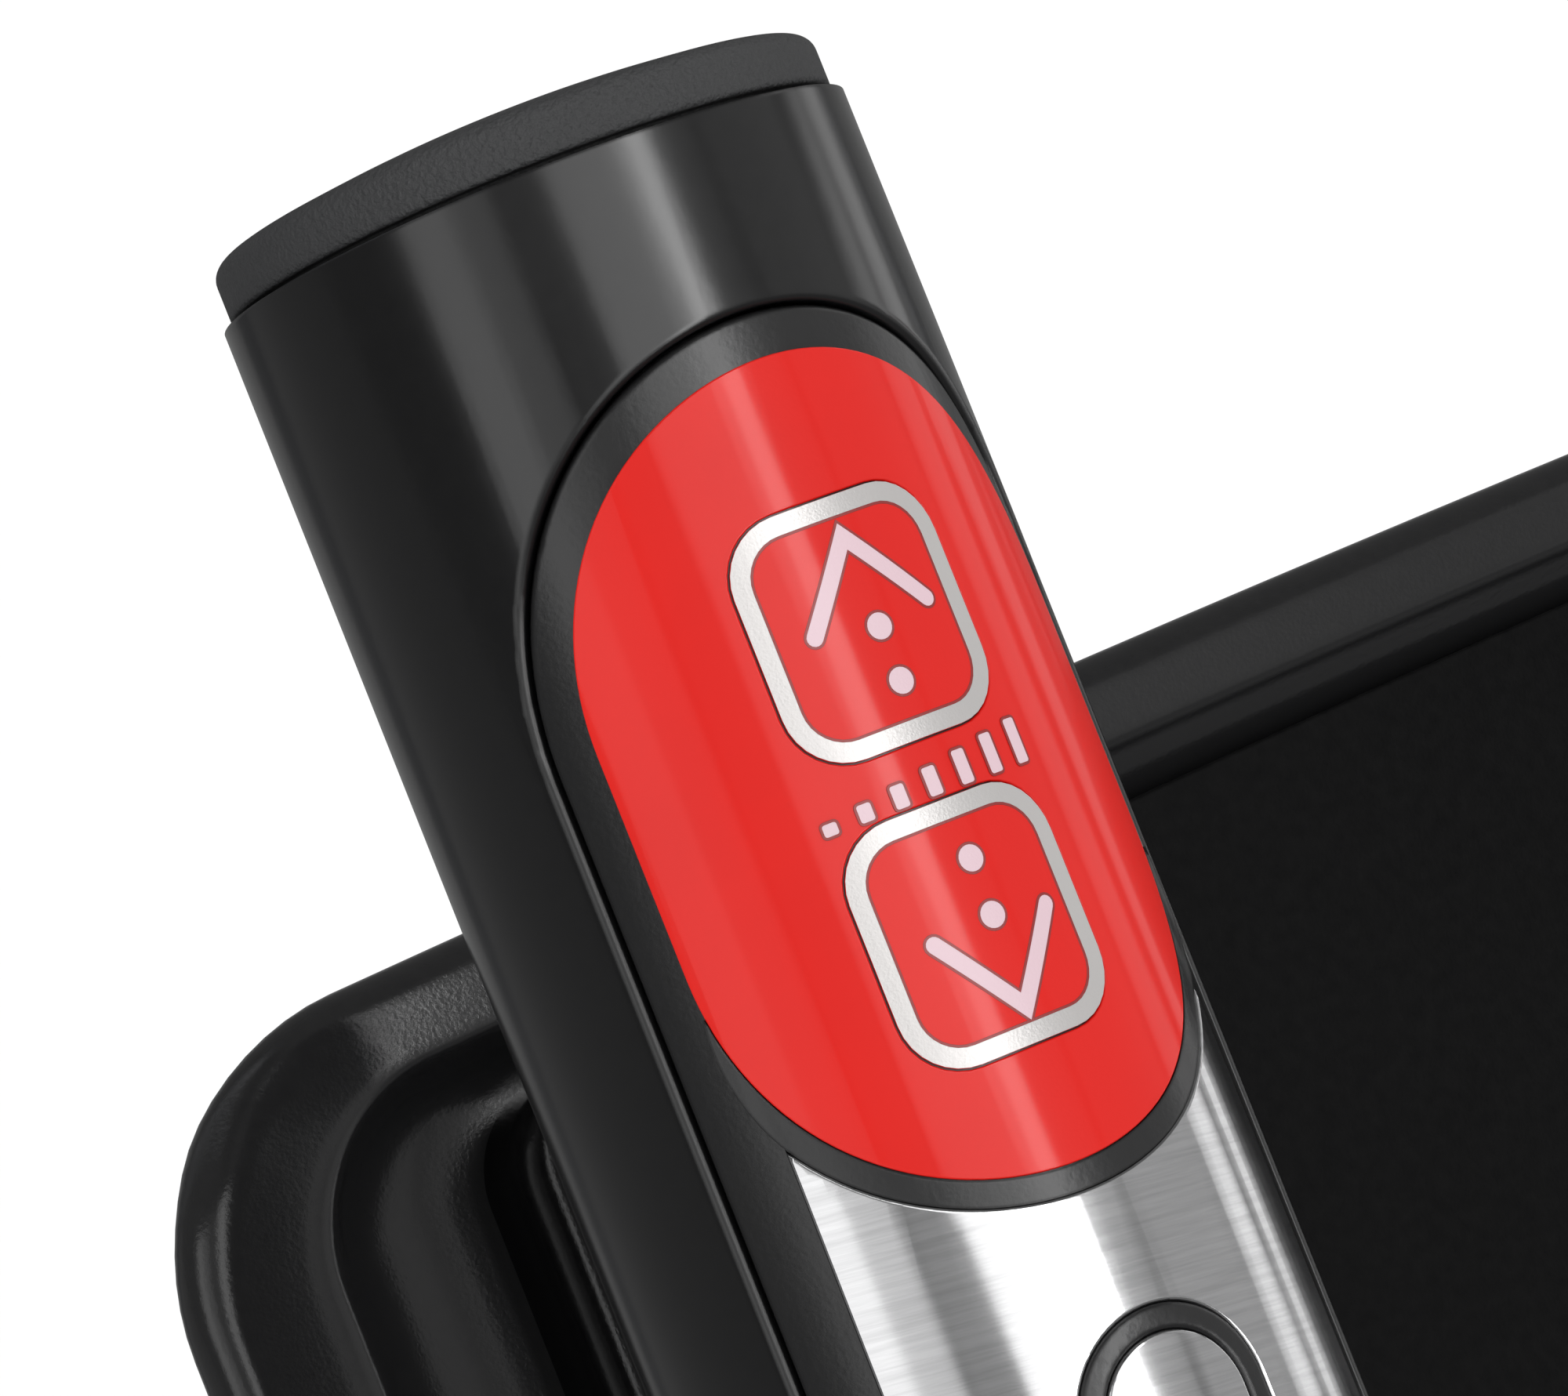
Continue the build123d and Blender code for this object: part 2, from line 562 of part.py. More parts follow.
def keypad_carrier(overlay, plate, island):
    gap = 0.18
    body = wall(16.1, 18.85, CARRIER_END, CARRIER_TOP)
    body &= slot_prism(CARRIER_ARC - gap, CARRIER_TOP - gap, CARRIER_END + gap)
    body -= slot_prism(PAD_ARC, PAD_TOP, PAD_END) & wall(18.6, 20, PAD_END - 1, PAD_TOP + 1)
    for name in KEY_Z:
        body -= key_prism(name, KEY_GAP + 0.1)
    return body - plate - island


def grip_screws():
    screws = []
    for z in (-120, -150):
        screw = rod_x(2.0, -18.6, -14.6, 0, z) + rod_x(3.6, -18.9, -17.4, 0, z)
        screws.append(on_horn(screw))
    return screws + [mirrored(s) for s in screws]


def handlebar():
    """One bent tube: a straight under each grip, then down and in to the mast."""
    tip = Vector(HORN_X, HORN_Y, HORN_Z) - ALONG * 66
    elbow = Vector(HORN_X, HORN_Y, HORN_Z) - ALONG * 230
    left = [tip, elbow, Vector(-172, -288, 1200), Vector(-112, CLAMP_Y, CLAMP_Z)]
    right = [Vector(-p.X, p.Y, p.Z) for p in reversed(left)]
    path = FilletPolyline(*left, *right, radius=[60, 60, 50, 50, 60, 60])
    section = Plane(origin=tip, z_dir=-ALONG)
    outer = sweep(section * Circle(BAR_TUBE_R), path=path)
    bore = sweep(section * Circle(BAR_TUBE_R - BAR_TUBE_WALL), path=path)
    holes = [on_horn(rod_x(2.0, -18, -12, 0, z)) for z in (-120, -150)]
    for hole in holes:
        outer = outer - hole - mirrored(hole)
    return outer - bore


def handlebar_clamp():
    """Two jaws round the bar, split at its middle."""
    half, gap = 25.0, 1.5
    rear = block(-38, 38, CLAMP_Y + gap, -MAST_HALF_Y, CLAMP_Z - half, CLAMP_Z + half)
    front = block(-38, 38, CLAMP_Y - 25, CLAMP_Y - gap, CLAMP_Z - half, CLAMP_Z + half)
    front = fillet(front.edges().filter_by(Axis.X).group_by(Axis.Y)[0], 8)
    bore = rod_x(BAR_TUBE_R, -39, 39, CLAMP_Y, CLAMP_Z)
    jaws = []
    for jaw in (rear, front):
        jaw -= bore
        for x in (-28, 28):
            for z in (CLAMP_Z - 20, CLAMP_Z + 20):
                jaw -= rod_y(2.6, CLAMP_Y - 30, -MAST_HALF_Y, x, z)
        jaws.append(jaw)
    return Compound(jaws)


def column_fasteners():
    """Grip screws, clamp screws and the actuator's mast pin."""
    screws = grip_screws()
    for x in (-28, 28):
        for z in (CLAMP_Z - 20, CLAMP_Z + 20):
            y_head = CLAMP_Y - 25
            screw = rod_y(2.5, y_head, -MAST_HALF_Y, x, z) + rod_y(4.6, y_head - 4, y_head, x, z)
            screws.append(screw)
    screws.append(headed_pin(ACT_PIN_R, 24.2, *ACT_MAST))
    return Compound(screws)


# ---------------------------------------------------------------- console
FACE = Plane(origin=Vector(0, HORN_Y, HORN_Z) - FACING * CONSOLE_GAP, x_dir=(1, 0, 0), z_dir=FACING)


def console_outline(inset_side, inset_top, corner):
    """Rounded panel with a gently crowned top edge. Y of the sketch runs along the grips."""
    x = CONSOLE_HALF - inset_side
    top, low = CONSOLE_W_SIDE - inset_top, CONSOLE_W_LOW + inset_top
    face = make_face(Curve() + [
        Polyline((-x, top), (-x, low), (x, low), (x, top)),
        ThreePointArc((x, top), (0, top + CONSOLE_CROWN), (-x, top)),
    ])
    return fillet(face.vertices(), corner)


def drawn_in(inset_a, corner_a, depth_a, inset_b, corner_b, depth_b):
    """Solid between two outlines at two depths behind the console's face."""
    front = Pos(0, 0, -depth_a) * console_outline(inset_a, inset_a, corner_a)
    back = Pos(0, 0, -depth_b) * console_outline(inset_b, inset_b, corner_b)
    return loft([back, front])


def console_bezel():
    """Front shell: a rounded rim round a recess, with sides that draw in, open behind."""
    body = drawn_in(0, CONSOLE_CORNER, 0, BEZEL_DRAW, 11, BEZEL_T)
    body = fillet(body.edges().group_by(Axis.Z)[-1], 5)
    body -= Pos(0, 0, -7) * extrude(console_outline(RIM_SIDE, RIM_TOP, 14), amount=8)
    cavity = BEZEL_DRAW + 3
    body -= Pos(0, 0, -BEZEL_T) * extrude(console_outline(cavity, cavity, 9), amount=BEZEL_T - 11)
    return Location(FACE) * body


def console_back():
    outer = drawn_in(BEZEL_DRAW, 11, BEZEL_T, BACK_DRAW, 8, CONSOLE_DEPTH)
    inner = drawn_in(BEZEL_DRAW + 4, 9, BEZEL_T, BACK_DRAW + 3, 7, CONSOLE_DEPTH - 4)
    return Location(FACE) * (outer - inner)


def console_panel():
    """Glossy touch panel that stands in the recess."""
    body = extrude(console_outline(CONSOLE_HALF - PANEL_HALF, PANEL_INSET_TOP, 6), amount=6.4)
    body = fillet(body.edges().group_by(Axis.Z)[-1], 1.6)
    return Location(FACE) * (Pos(0, 0, -7) * body)


def console_bracket():
    """Folded steel box between the mast and the back of the console."""
    back = CONSOLE_GAP + CONSOLE_DEPTH
    high = Vector(0, HORN_Y, HORN_Z) - FACING * back - ALONG * 72
    low = Vector(0, HORN_Y, HORN_Z) - FACING * back - ALONG * 205
    outline = [(-MAST_HALF_Y, 1300 - 24), (-MAST_HALF_Y, 1204), (low.Y, low.Z), (high.Y, high.Z)]
    return slab_x(outline, -32, 32)


# ---------------------------------------------------------------- assembly
PARTS["front_crossbar"] = floor_bar(FRONT_BAR_Y)
PARTS["rear_crossbar"] = floor_bar(REAR_BAR_Y)
PARTS["base_spine"] = base_spine()
PARTS["rubber_feet"] = base_feet()
PARTS["base_pins"] = base_pins()
PARTS["wheel_forks"] = wheel_forks()
PARTS["left_wheel"] = transport_wheel(-1)
PARTS["right_wheel"] = transport_wheel(1)

PARTS["mast"] = mast()
PARTS["guide_rails"] = guide_rails()
PARTS["mast_cap"] = mast_cap()
PARTS["shaft_bearings"] = shaft_bearings()
PARTS["drive_pulley"] = pulley(PULLEY_LOW_Z, 104)
PARTS["flywheel"] = flywheel()
PARTS["idler_pulley"] = pulley(PULLEY_HIGH_Z, 76)
PARTS["drive_belt"] = drive_belt()
PARTS["drive_cover"] = drive_cover()
PARTS["brake_magnet"] = brake_magnet()

add_arm("left", CARRIAGE_MID + ARM_STEP)
add_arm("right", CARRIAGE_MID - ARM_STEP)

PARTS["actuator_tube"] = actuator_tube()
PARTS["incline_motor"] = incline_motor()
PARTS["actuator_rod"] = actuator_rod()

film, contact, island = keypad_overlay(), pulse_plate(), pulse_island()
add_pair("grip_shell", on_horn(grip_shell()))
add_pair("grip_end_cap", on_horn(grip_end_cap()))
add_pair("keypad_carrier", on_horn(keypad_carrier(film, contact, island)))
add_pair("keypad_overlay", on_horn(film))
add_pair("pulse_plate", on_horn(contact))
add_pair("pulse_island", on_horn(island))
add_pair("keypad_board", on_horn(keypad_board()))
for key_name in KEY_Z:
    add_pair(f"key_{key_name}", on_horn(key_cap(key_name)))

PARTS["handlebar"] = handlebar()
PARTS["handlebar_clamp"] = handlebar_clamp()
PARTS["column_fasteners"] = column_fasteners()
PARTS["console_bezel"] = console_bezel()
PARTS["console_back"] = console_back()
PARTS["console_panel"] = console_panel()
PARTS["console_bracket"] = console_bracket()

os.makedirs("parts", exist_ok=True)
for part_name, shape in PARTS.items():
    export_step(shape, f"parts/{part_name}.step")
print(len(PARTS), "sub-parts written")
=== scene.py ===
# %% [markdown]
# # A vertical climber, finished in Blender
# The machine arrives as a frame of CAD parts that already fit and move. Nothing in that frame is
# moved here. Parts whose shape is right get a better finish, and parts that a hand or an eye comes
# close to are made again as finer meshes that stand for the CAD part. Every distance below is in
# metres, and `MM` turns the millimetres that a maker thinks in into metres.

# %% Load the frame
import json
from math import atan2, cos, degrees, hypot, pi, radians, sin, sqrt
import bmesh
import bpy
from mathutils import Matrix, Vector


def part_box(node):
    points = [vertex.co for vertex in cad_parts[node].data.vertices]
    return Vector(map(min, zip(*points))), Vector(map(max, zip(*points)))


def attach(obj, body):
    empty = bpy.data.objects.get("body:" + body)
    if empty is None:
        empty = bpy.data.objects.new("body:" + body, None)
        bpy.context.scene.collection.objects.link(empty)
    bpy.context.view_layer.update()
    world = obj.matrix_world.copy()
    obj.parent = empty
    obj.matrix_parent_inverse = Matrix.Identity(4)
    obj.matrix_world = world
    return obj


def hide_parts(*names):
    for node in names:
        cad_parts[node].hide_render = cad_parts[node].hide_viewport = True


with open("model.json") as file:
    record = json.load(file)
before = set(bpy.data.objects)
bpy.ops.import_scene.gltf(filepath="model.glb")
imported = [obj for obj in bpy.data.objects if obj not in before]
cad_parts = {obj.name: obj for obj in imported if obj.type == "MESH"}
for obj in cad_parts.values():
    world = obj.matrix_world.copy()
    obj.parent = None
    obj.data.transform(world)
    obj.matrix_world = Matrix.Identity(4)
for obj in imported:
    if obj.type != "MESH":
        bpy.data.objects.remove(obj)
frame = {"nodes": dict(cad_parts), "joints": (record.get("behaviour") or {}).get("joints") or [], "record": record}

for name in ("Cube", "Light", "Camera"):
    if name in bpy.data.objects:
        bpy.data.objects.remove(bpy.data.objects[name])
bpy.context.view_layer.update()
MM = 0.001

# %% [markdown]
# ## Where the left grip is
# The grip is a tube that leans forward. Its own directions come from the frame: the way the keys
# are pressed gives the way the pad faces, and the tube's box gives its radius and its rim. From
# here on a place on the grip is three numbers: how far round it is, how far along, and how far out.
# That is how a tube maker measures, and it lets flat artwork be bent round the grip later.

# %% Directions and rim of the grip
RIM_CHAMFER = 0.9 * MM
X, Y, Z = Vector((1, 0, 0)), Vector((0, 1, 0)), Vector((0, 0, 1))
RIGHT = X
key_joint = next(j for j in frame["joints"] if j["name"] == "left_up_key")
FACING = -Vector(key_joint["axis"]).normalized()
ALONG = FACING.cross(RIGHT)
shell_low, shell_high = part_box("left_grip_shell")
GRIP_R = (shell_high.x - shell_low.x) / 2
RIM = Vector((
    (shell_high.x + shell_low.x) / 2,
    shell_high.y - GRIP_R * -FACING.y + RIM_CHAMFER * ALONG.y,
    shell_high.z - (GRIP_R - RIM_CHAMFER) * FACING.z,
))


def on_grip(out, side, up):
    """A point from its distances out through the pad, to the user's right and up the grip."""
    return RIM + FACING * out + RIGHT * side + ALONG * up


def round_grip(arc, up, radius):
    """A point from its arc length round the grip from the pad's middle line."""
    turn = arc / GRIP_R
    return on_grip(radius * cos(turn), radius * sin(turn), up)


print("grip radius mm", round(GRIP_R / MM, 2), "rim", [round(c, 4) for c in RIM])

# %% [markdown]
# ## Camera
# The view is a close-up from the user's left, level with the pad, with a long lens so that the
# tube's sides stay almost parallel. The camera is set by a place, a point that it looks at and
# an up direction, all given in the grip's own directions. A long lens close by was chosen over a
# cropped wide one because it gives the same flat perspective that a catalogue close-up has.

# %% Camera
CAMERA_AT = (356.4, -180.0, -49.1)      # mm out, right and up from the rim
CAMERA_LOOKS_AT = (0.2, 3.2, -30.9)
CAMERA_UP = (0.20727, 0.31123, 0.92746)
FOCAL_LENGTH = 161.2


def aim(eye, target, up):
    """Matrix of an object at eye whose -Z looks at target."""
    forward = (target - eye).normalized()
    side = forward.cross(up).normalized()
    top = side.cross(forward)
    turn = Matrix((side, top, -forward)).transposed().to_4x4()
    return Matrix.Translation(eye) @ turn


lens = bpy.data.cameras.new("camera")
lens.sensor_width = 36.0
lens.lens = FOCAL_LENGTH
lens.clip_start, lens.clip_end = 0.02, 60.0
camera = bpy.data.objects.new("camera", lens)
bpy.context.scene.collection.objects.link(camera)
up_way = FACING * CAMERA_UP[0] + RIGHT * CAMERA_UP[1] + ALONG * CAMERA_UP[2]
eye = on_grip(*(c * MM for c in CAMERA_AT))
camera.matrix_world = aim(eye, on_grip(*(c * MM for c in CAMERA_LOOKS_AT)), up_way)
bpy.context.scene.camera = camera
print("camera at", [round(c, 3) for c in camera.location])

# %% [markdown]
# ## Node groups
# Moulding texture, brush marks, handling marks and worn edges turn up in many of this machine's
# finishes. Each is a node group with its own inputs, built once. A group gives out heights, masks
# and normals only, and the shader itself stays in each material. The alternative, one material
# copied and changed, is quick to start with, but then a better grain has to be fixed many times.

# %% A helper that builds a node group
def new_group(title, inputs, outputs):
    """Empty shader group. inputs are (name, default), outputs are (name, socket type)."""
    group = bpy.data.node_groups.new(title, "ShaderNodeTree")
    for name, default in inputs:
        kind = "NodeSocketVector" if default is None else "NodeSocketFloat"
        socket = group.interface.new_socket(name, in_out="INPUT", socket_type=kind)
        if default is not None:
            socket.default_value = default
    for name, kind in outputs:
        group.interface.new_socket(name, in_out="OUTPUT", socket_type=kind)
    return group, group.nodes.new("NodeGroupInput"), group.nodes.new("NodeGroupOutput")


def add_node(tree, kind, **settings):
    """New node with its properties or its input sockets set by name."""
    node = tree.nodes.new(kind)
    for key, value in settings.items():
        if hasattr(node, key):
            setattr(node, key, value)
        else:
            node.inputs[key.replace("_", " ")].default_value = value
    return node


def maths(tree, operation, first, second=None, third=None):
    """Output of a Math node. Each operand is a socket or a number."""
    node = add_node(tree, "ShaderNodeMath", operation=operation)
    for slot, operand in enumerate((first, second, third)):
        if operand is None:
            continue
        if isinstance(operand, (int, float)):
            node.inputs[slot].default_value = operand
        else:
            tree.links.new(operand, node.inputs[slot])
    return node.outputs[0]


print("group helpers ready")

# %% [markdown]
# Moulded plastic copies the spark-eroded surface of its tool: small soft cells, no direction. Two
# noises of different size make it, and a third, slow one lets it fade in and out as a worn tool's
# does. A Voronoi pattern alone looks like leather, so it only breaks up the noise.

# %% Group: moulded grain
moulded_grain, gin, gout = new_group(
    "moulded grain",
    (("Vector", None), ("Cells per metre", 1800.0), ("Patchiness", 0.3)),
    (("Height", "NodeSocketFloat"), ("Mask", "NodeSocketFloat")))
tree = moulded_grain
cells = add_node(tree, "ShaderNodeTexVoronoi", feature="SMOOTH_F1", Smoothness=0.6)
fine = add_node(tree, "ShaderNodeTexNoise", Detail=3.0, Roughness=0.6)
slow = add_node(tree, "ShaderNodeTexNoise", Scale=45.0, Detail=2.0)
for node in (cells, fine, slow):
    tree.links.new(gin.outputs["Vector"], node.inputs["Vector"])
tree.links.new(gin.outputs["Cells per metre"], cells.inputs["Scale"])
tree.links.new(maths(tree, "MULTIPLY", gin.outputs["Cells per metre"], 1.7), fine.inputs["Scale"])
pebble = maths(tree, "MULTIPLY_ADD", cells.outputs["Distance"], 0.6, fine.outputs["Fac"])
patch = maths(tree, "MULTIPLY", slow.outputs["Fac"], gin.outputs["Patchiness"])
tree.links.new(maths(tree, "SUBTRACT", pebble, patch), gout.inputs["Height"])
tree.links.new(slow.outputs["Fac"], gout.inputs["Mask"])
print("group", moulded_grain.name)

# %% [markdown]
# Brush marks are long in one direction and fine across it. The marks come from a noise that is
# stretched before it is looked up. `Vector` decides the direction: the long way of the marks is
# its X. A second, coarser layer gives the few deeper scratches that every brushed sheet has.

# %% Group: brush marks
brush_marks, gin, gout = new_group(
    "brush marks",
    (("Vector", None), ("Lines per metre", 9000.0), ("Stretch", 60.0)),
    (("Height", "NodeSocketFloat"), ("Hairs", "NodeSocketFloat"), ("Scratches", "NodeSocketFloat")))
tree = brush_marks
squeeze = add_node(tree, "ShaderNodeCombineXYZ", Y=1.0, Z=1.0)
tree.links.new(maths(tree, "DIVIDE", 1.0, gin.outputs["Stretch"]), squeeze.inputs["X"])
stretched = add_node(tree, "ShaderNodeVectorMath", operation="MULTIPLY")
tree.links.new(gin.outputs["Vector"], stretched.inputs[0])
tree.links.new(squeeze.outputs[0], stretched.inputs[1])
hair = add_node(tree, "ShaderNodeTexNoise", Detail=4.0, Roughness=0.7)
deep = add_node(tree, "ShaderNodeTexNoise", Detail=1.0)
for node, share in ((hair, 1.0), (deep, 0.22)):
    tree.links.new(stretched.outputs[0], node.inputs["Vector"])
    tree.links.new(maths(tree, "MULTIPLY", gin.outputs["Lines per metre"], share), node.inputs["Scale"])
tree.links.new(hair.outputs["Fac"], gout.inputs["Height"])
strand = add_node(tree, "ShaderNodeMapRange", From_Min=0.38, From_Max=0.66)
tree.links.new(hair.outputs["Fac"], strand.inputs["Value"])
tree.links.new(strand.outputs[0], gout.inputs["Hairs"])
score = maths(tree, "SUBTRACT", deep.outputs["Fac"], 0.62)
tree.links.new(maths(tree, "MULTIPLY", maths(tree, "MAXIMUM", score, 0.0), 5.0), gout.inputs["Scratches"])
print("group", brush_marks.name)

# %% [markdown]
# A gym machine is touched all day. Palms leave broad dull patches on anything glossy, and dust
# settles on what faces up. Both are masks, so each finish decides what a smudge does to it.

# %% Group: handling marks
handling, gin, gout = new_group(
    "handling marks", (("Vector", None), ("Size", 22.0)),
    (("Smudge", "NodeSocketFloat"), ("Dust", "NodeSocketFloat")))
tree = handling
palm = add_node(tree, "ShaderNodeTexNoise", Detail=5.0, Roughness=0.55, Distortion=0.4)
speck = add_node(tree, "ShaderNodeTexNoise", Scale=900.0, Detail=2.0)
tree.links.new(gin.outputs["Vector"], palm.inputs["Vector"])
tree.links.new(gin.outputs["Size"], palm.inputs["Scale"])
tree.links.new(gin.outputs["Vector"], speck.inputs["Vector"])
soft = add_node(tree, "ShaderNodeMapRange", From_Min=0.42, From_Max=0.68)
tree.links.new(palm.outputs["Fac"], soft.inputs["Value"])
tree.links.new(soft.outputs[0], gout.inputs["Smudge"])
facing_up = add_node(tree, "ShaderNodeSeparateXYZ")
geometry = add_node(tree, "ShaderNodeNewGeometry")
tree.links.new(geometry.outputs["Normal"], facing_up.inputs[0])
lying = maths(tree, "MAXIMUM", facing_up.outputs["Z"], 0.0)
tree.links.new(maths(tree, "MULTIPLY", lying, speck.outputs["Fac"]), gout.inputs["Dust"])
print("group", handling.name)

# %% [markdown]
# Machined and moulded edges are never quite sharp. The Bevel node looks round a point and gives the
# normal of a softly rounded edge, and where that differs from the true normal there is an edge, so
# the same node also says where paint rubs thin. Real bevels on every part would be heavier.

# %% Group: soft edges
soft_edges, gin, gout = new_group(
    "soft edges", (("Radius", 0.0012), ("Wear", 0.5)),
    (("Normal", "NodeSocketVector"), ("Worn", "NodeSocketFloat")))
tree = soft_edges
rounded = add_node(tree, "ShaderNodeBevel", samples=4)
tree.links.new(gin.outputs["Radius"], rounded.inputs["Radius"])
geometry = add_node(tree, "ShaderNodeNewGeometry")
same = add_node(tree, "ShaderNodeVectorMath", operation="DOT_PRODUCT")
tree.links.new(rounded.outputs[0], same.inputs[0])
tree.links.new(geometry.outputs["Normal"], same.inputs[1])
chips = add_node(tree, "ShaderNodeTexNoise", Scale=240.0, Detail=6.0, Roughness=0.7)
where = add_node(tree, "ShaderNodeTexCoord")
tree.links.new(where.outputs["Object"], chips.inputs["Vector"])
edge = maths(tree, "MULTIPLY", maths(tree, "SUBTRACT", 1.0, same.outputs["Value"]), 3.0)
broken = maths(tree, "MULTIPLY", edge, maths(tree, "POWER", chips.outputs["Fac"], 2.0))
tree.links.new(rounded.outputs[0], gout.inputs["Normal"])
tree.links.new(maths(tree, "MULTIPLY", broken, gin.outputs["Wear"]), gout.inputs["Worn"])
print("group", soft_edges.name)

# %% [markdown]
# ## A material and its parts
# Each finish below is a short function call: a base, and then what the surface has on it. The
# helper keeps the Principled shader in the material and lets the groups feed its colour, roughness
# and normal. Even values such as coat roughness stay on the shader's own sockets.

# %% The material helper
class Finish:
    """A material with its shader, its texture vector and short ways to wire effects into it."""

    def __init__(self, title, colour, roughness, metallic=0.0, **sockets):
        self.material = bpy.data.materials.new(title)
        self.material.use_nodes = True
        self.material.diffuse_color = (*colour, 1.0)
        self.tree = self.material.node_tree
        self.shader = self.tree.nodes["Principled BSDF"]
        self.shader.inputs["Base Color"].default_value = (*colour, 1.0)
        self.shader.inputs["Roughness"].default_value = roughness
        self.shader.inputs["Metallic"].default_value = metallic
        for name, value in sockets.items():
            self.shader.inputs[name.replace("_", " ")].default_value = value
        self.colour, self.roughness = colour, roughness
        self.colour_from, self.rough_from, self.height = None, None, None
        self.vector = self.tree.nodes.new("ShaderNodeTexCoord").outputs["Object"]

    def link(self, source, target):
        """Wires two sockets."""
        self.tree.links.new(source, target)

    def group(self, effect, **inputs):
        """Adds one of the node groups, fed with this finish's texture vector."""
        node = self.tree.nodes.new("ShaderNodeGroup")
        node.node_tree = effect
        for name, value in inputs.items():
            node.inputs[name.replace("_", " ")].default_value = value
        if "Vector" in node.inputs:
            self.link(self.vector, node.inputs["Vector"])
        return node

    def tint(self, mask, colour, strength=1.0):
        """Mixes a second colour in where mask is high."""
        mix = self.tree.nodes.new("ShaderNodeMix")
        mix.data_type = "RGBA"
        mix.inputs["B"].default_value = (*colour, 1.0)
        if self.colour_from is None:
            mix.inputs["A"].default_value = (*self.colour, 1.0)
        else:
            self.link(self.colour_from, mix.inputs["A"])
        self.link(maths(self.tree, "MULTIPLY", mask, strength), mix.inputs["Factor"])
        self.colour_from = mix.outputs["Result"]
        return self

    def roughen(self, mask, amount):
        """Adds mask times amount to the roughness."""
        base = self.roughness if self.rough_from is None else self.rough_from
        self.rough_from = maths(self.tree, "MULTIPLY_ADD", mask, amount, base)
        return self

    def raise_by(self, height, distance):
        """Adds one bump layer, distance metres high."""
        bump = self.tree.nodes.new("ShaderNodeBump")
        bump.inputs["Distance"].default_value = distance
        self.link(height, bump.inputs["Height"])
        if self.height is not None:
            self.link(self.height, bump.inputs["Normal"])
        self.height = bump.outputs["Normal"]
        return self

    def soften(self, radius, wear, bare, bare_strength=1.0):
        """Rounds the edges and lets a bare colour show where they rub."""
        edges = self.group(soft_edges, Radius=radius, Wear=wear)
        self.height = edges.outputs["Normal"]
        self.tint(edges.outputs["Worn"], bare, bare_strength)
        return self

    def done(self):
        """Wires what was gathered into the shader and gives the material."""
        if self.colour_from is not None:
            self.link(self.colour_from, self.shader.inputs["Base Color"])
        if self.rough_from is not None:
            self.link(self.rough_from, self.shader.inputs["Roughness"])
        if self.height is not None:
            self.link(self.height, self.shader.inputs["Normal"])
        return self.material


print("material helper ready")

# %% [markdown]
# ## Plastics
# The grip's outer tube is high-gloss black. Its colour is almost nothing, so what is seen is the
# room in it, and the roughness decides how soft the light's edges are. The carrier round the pad is
# the same black with a satin surface, and the end cap has the open grain of a spark-eroded tool.

# %% Plastics of the grip and the console
finishes = {}


def plastic(title, colour, roughness, cells, depth, smudge=0.06, edge=0.4, **sockets):
    """Moulded plastic: grain, palm marks, a little dust and softly rounded edges."""
    finish = Finish(title, colour, roughness, **sockets)
    finish.soften(edge * MM, 0.25, tuple(c * 2.5 + 0.01 for c in colour))
    grain = finish.group(moulded_grain, Cells_per_metre=cells)
    marks = finish.group(handling)
    finish.raise_by(grain.outputs["Height"], depth)
    finish.tint(marks.outputs["Dust"], (0.32, 0.31, 0.30), 0.02)
    finish.roughen(marks.outputs["Smudge"], smudge)
    finishes[title] = finish.done()


plastic("shell_gloss", (0.0035, 0.0035, 0.0038), 0.15, 500, 0.000004, smudge=0.05, edge=0.3)
plastic("carrier_satin", (0.007, 0.007, 0.0075), 0.27, 2400, 0.00001, edge=0.25)
plastic("cap_texture", (0.030, 0.031, 0.033), 0.62, 2900, 0.00016, smudge=0.05, edge=0.5)
plastic("console_satin", (0.0125, 0.0125, 0.013), 0.15, 2600, 0.000010, smudge=0.03, edge=0.3,
        Specular_IOR_Level=0.42)
plastic("console_glass", (0.0020, 0.0020, 0.0022), 0.11, 3000, 0.00001, smudge=0.02, edge=0.3,
        Specular_IOR_Level=0.1)
plastic("display_glass", (0.0015, 0.0018, 0.0022), 0.05, 300, 0.000002, smudge=0.04, edge=0.3)
plastic("cover_plastic", (0.028, 0.029, 0.031), 0.52, 1500, 0.00008, edge=1.2)
plastic("knob_plastic", (0.014, 0.014, 0.015), 0.45, 1800, 0.00005, edge=1.0)
plastic("tread_plastic", (0.022, 0.022, 0.024), 0.6, 1100, 0.0001, edge=1.2)
print(len(finishes), "plastics")

# %% [markdown]
# Rubber and foam scatter light and keep dust. The sleeves on the hand bars are closed-cell foam, so
# their grain is larger and deeper, with a faint sheen at the edges. The pad's film is printed on
# its back, so its red is deep and even under a smooth, slightly silky front.

# %% Rubber, foam and the printed film
def rubber(title, colour, roughness, cells, depth):
    """Rubber: matt, grained, and a little grey where dust lies."""
    finish = Finish(title, colour, roughness, Specular_IOR_Level=0.35)
    finish.soften(1.0 * MM, 0.2, tuple(c * 2 + 0.02 for c in colour))
    grain = finish.group(moulded_grain, Cells_per_metre=cells, Patchiness=0.5)
    marks = finish.group(handling)
    finish.raise_by(grain.outputs["Height"], depth)
    finish.tint(marks.outputs["Dust"], (0.35, 0.33, 0.30), 0.16)
    finish.tint(grain.outputs["Mask"], tuple(c * 1.7 for c in colour), 0.5)
    finishes[title] = finish.done()


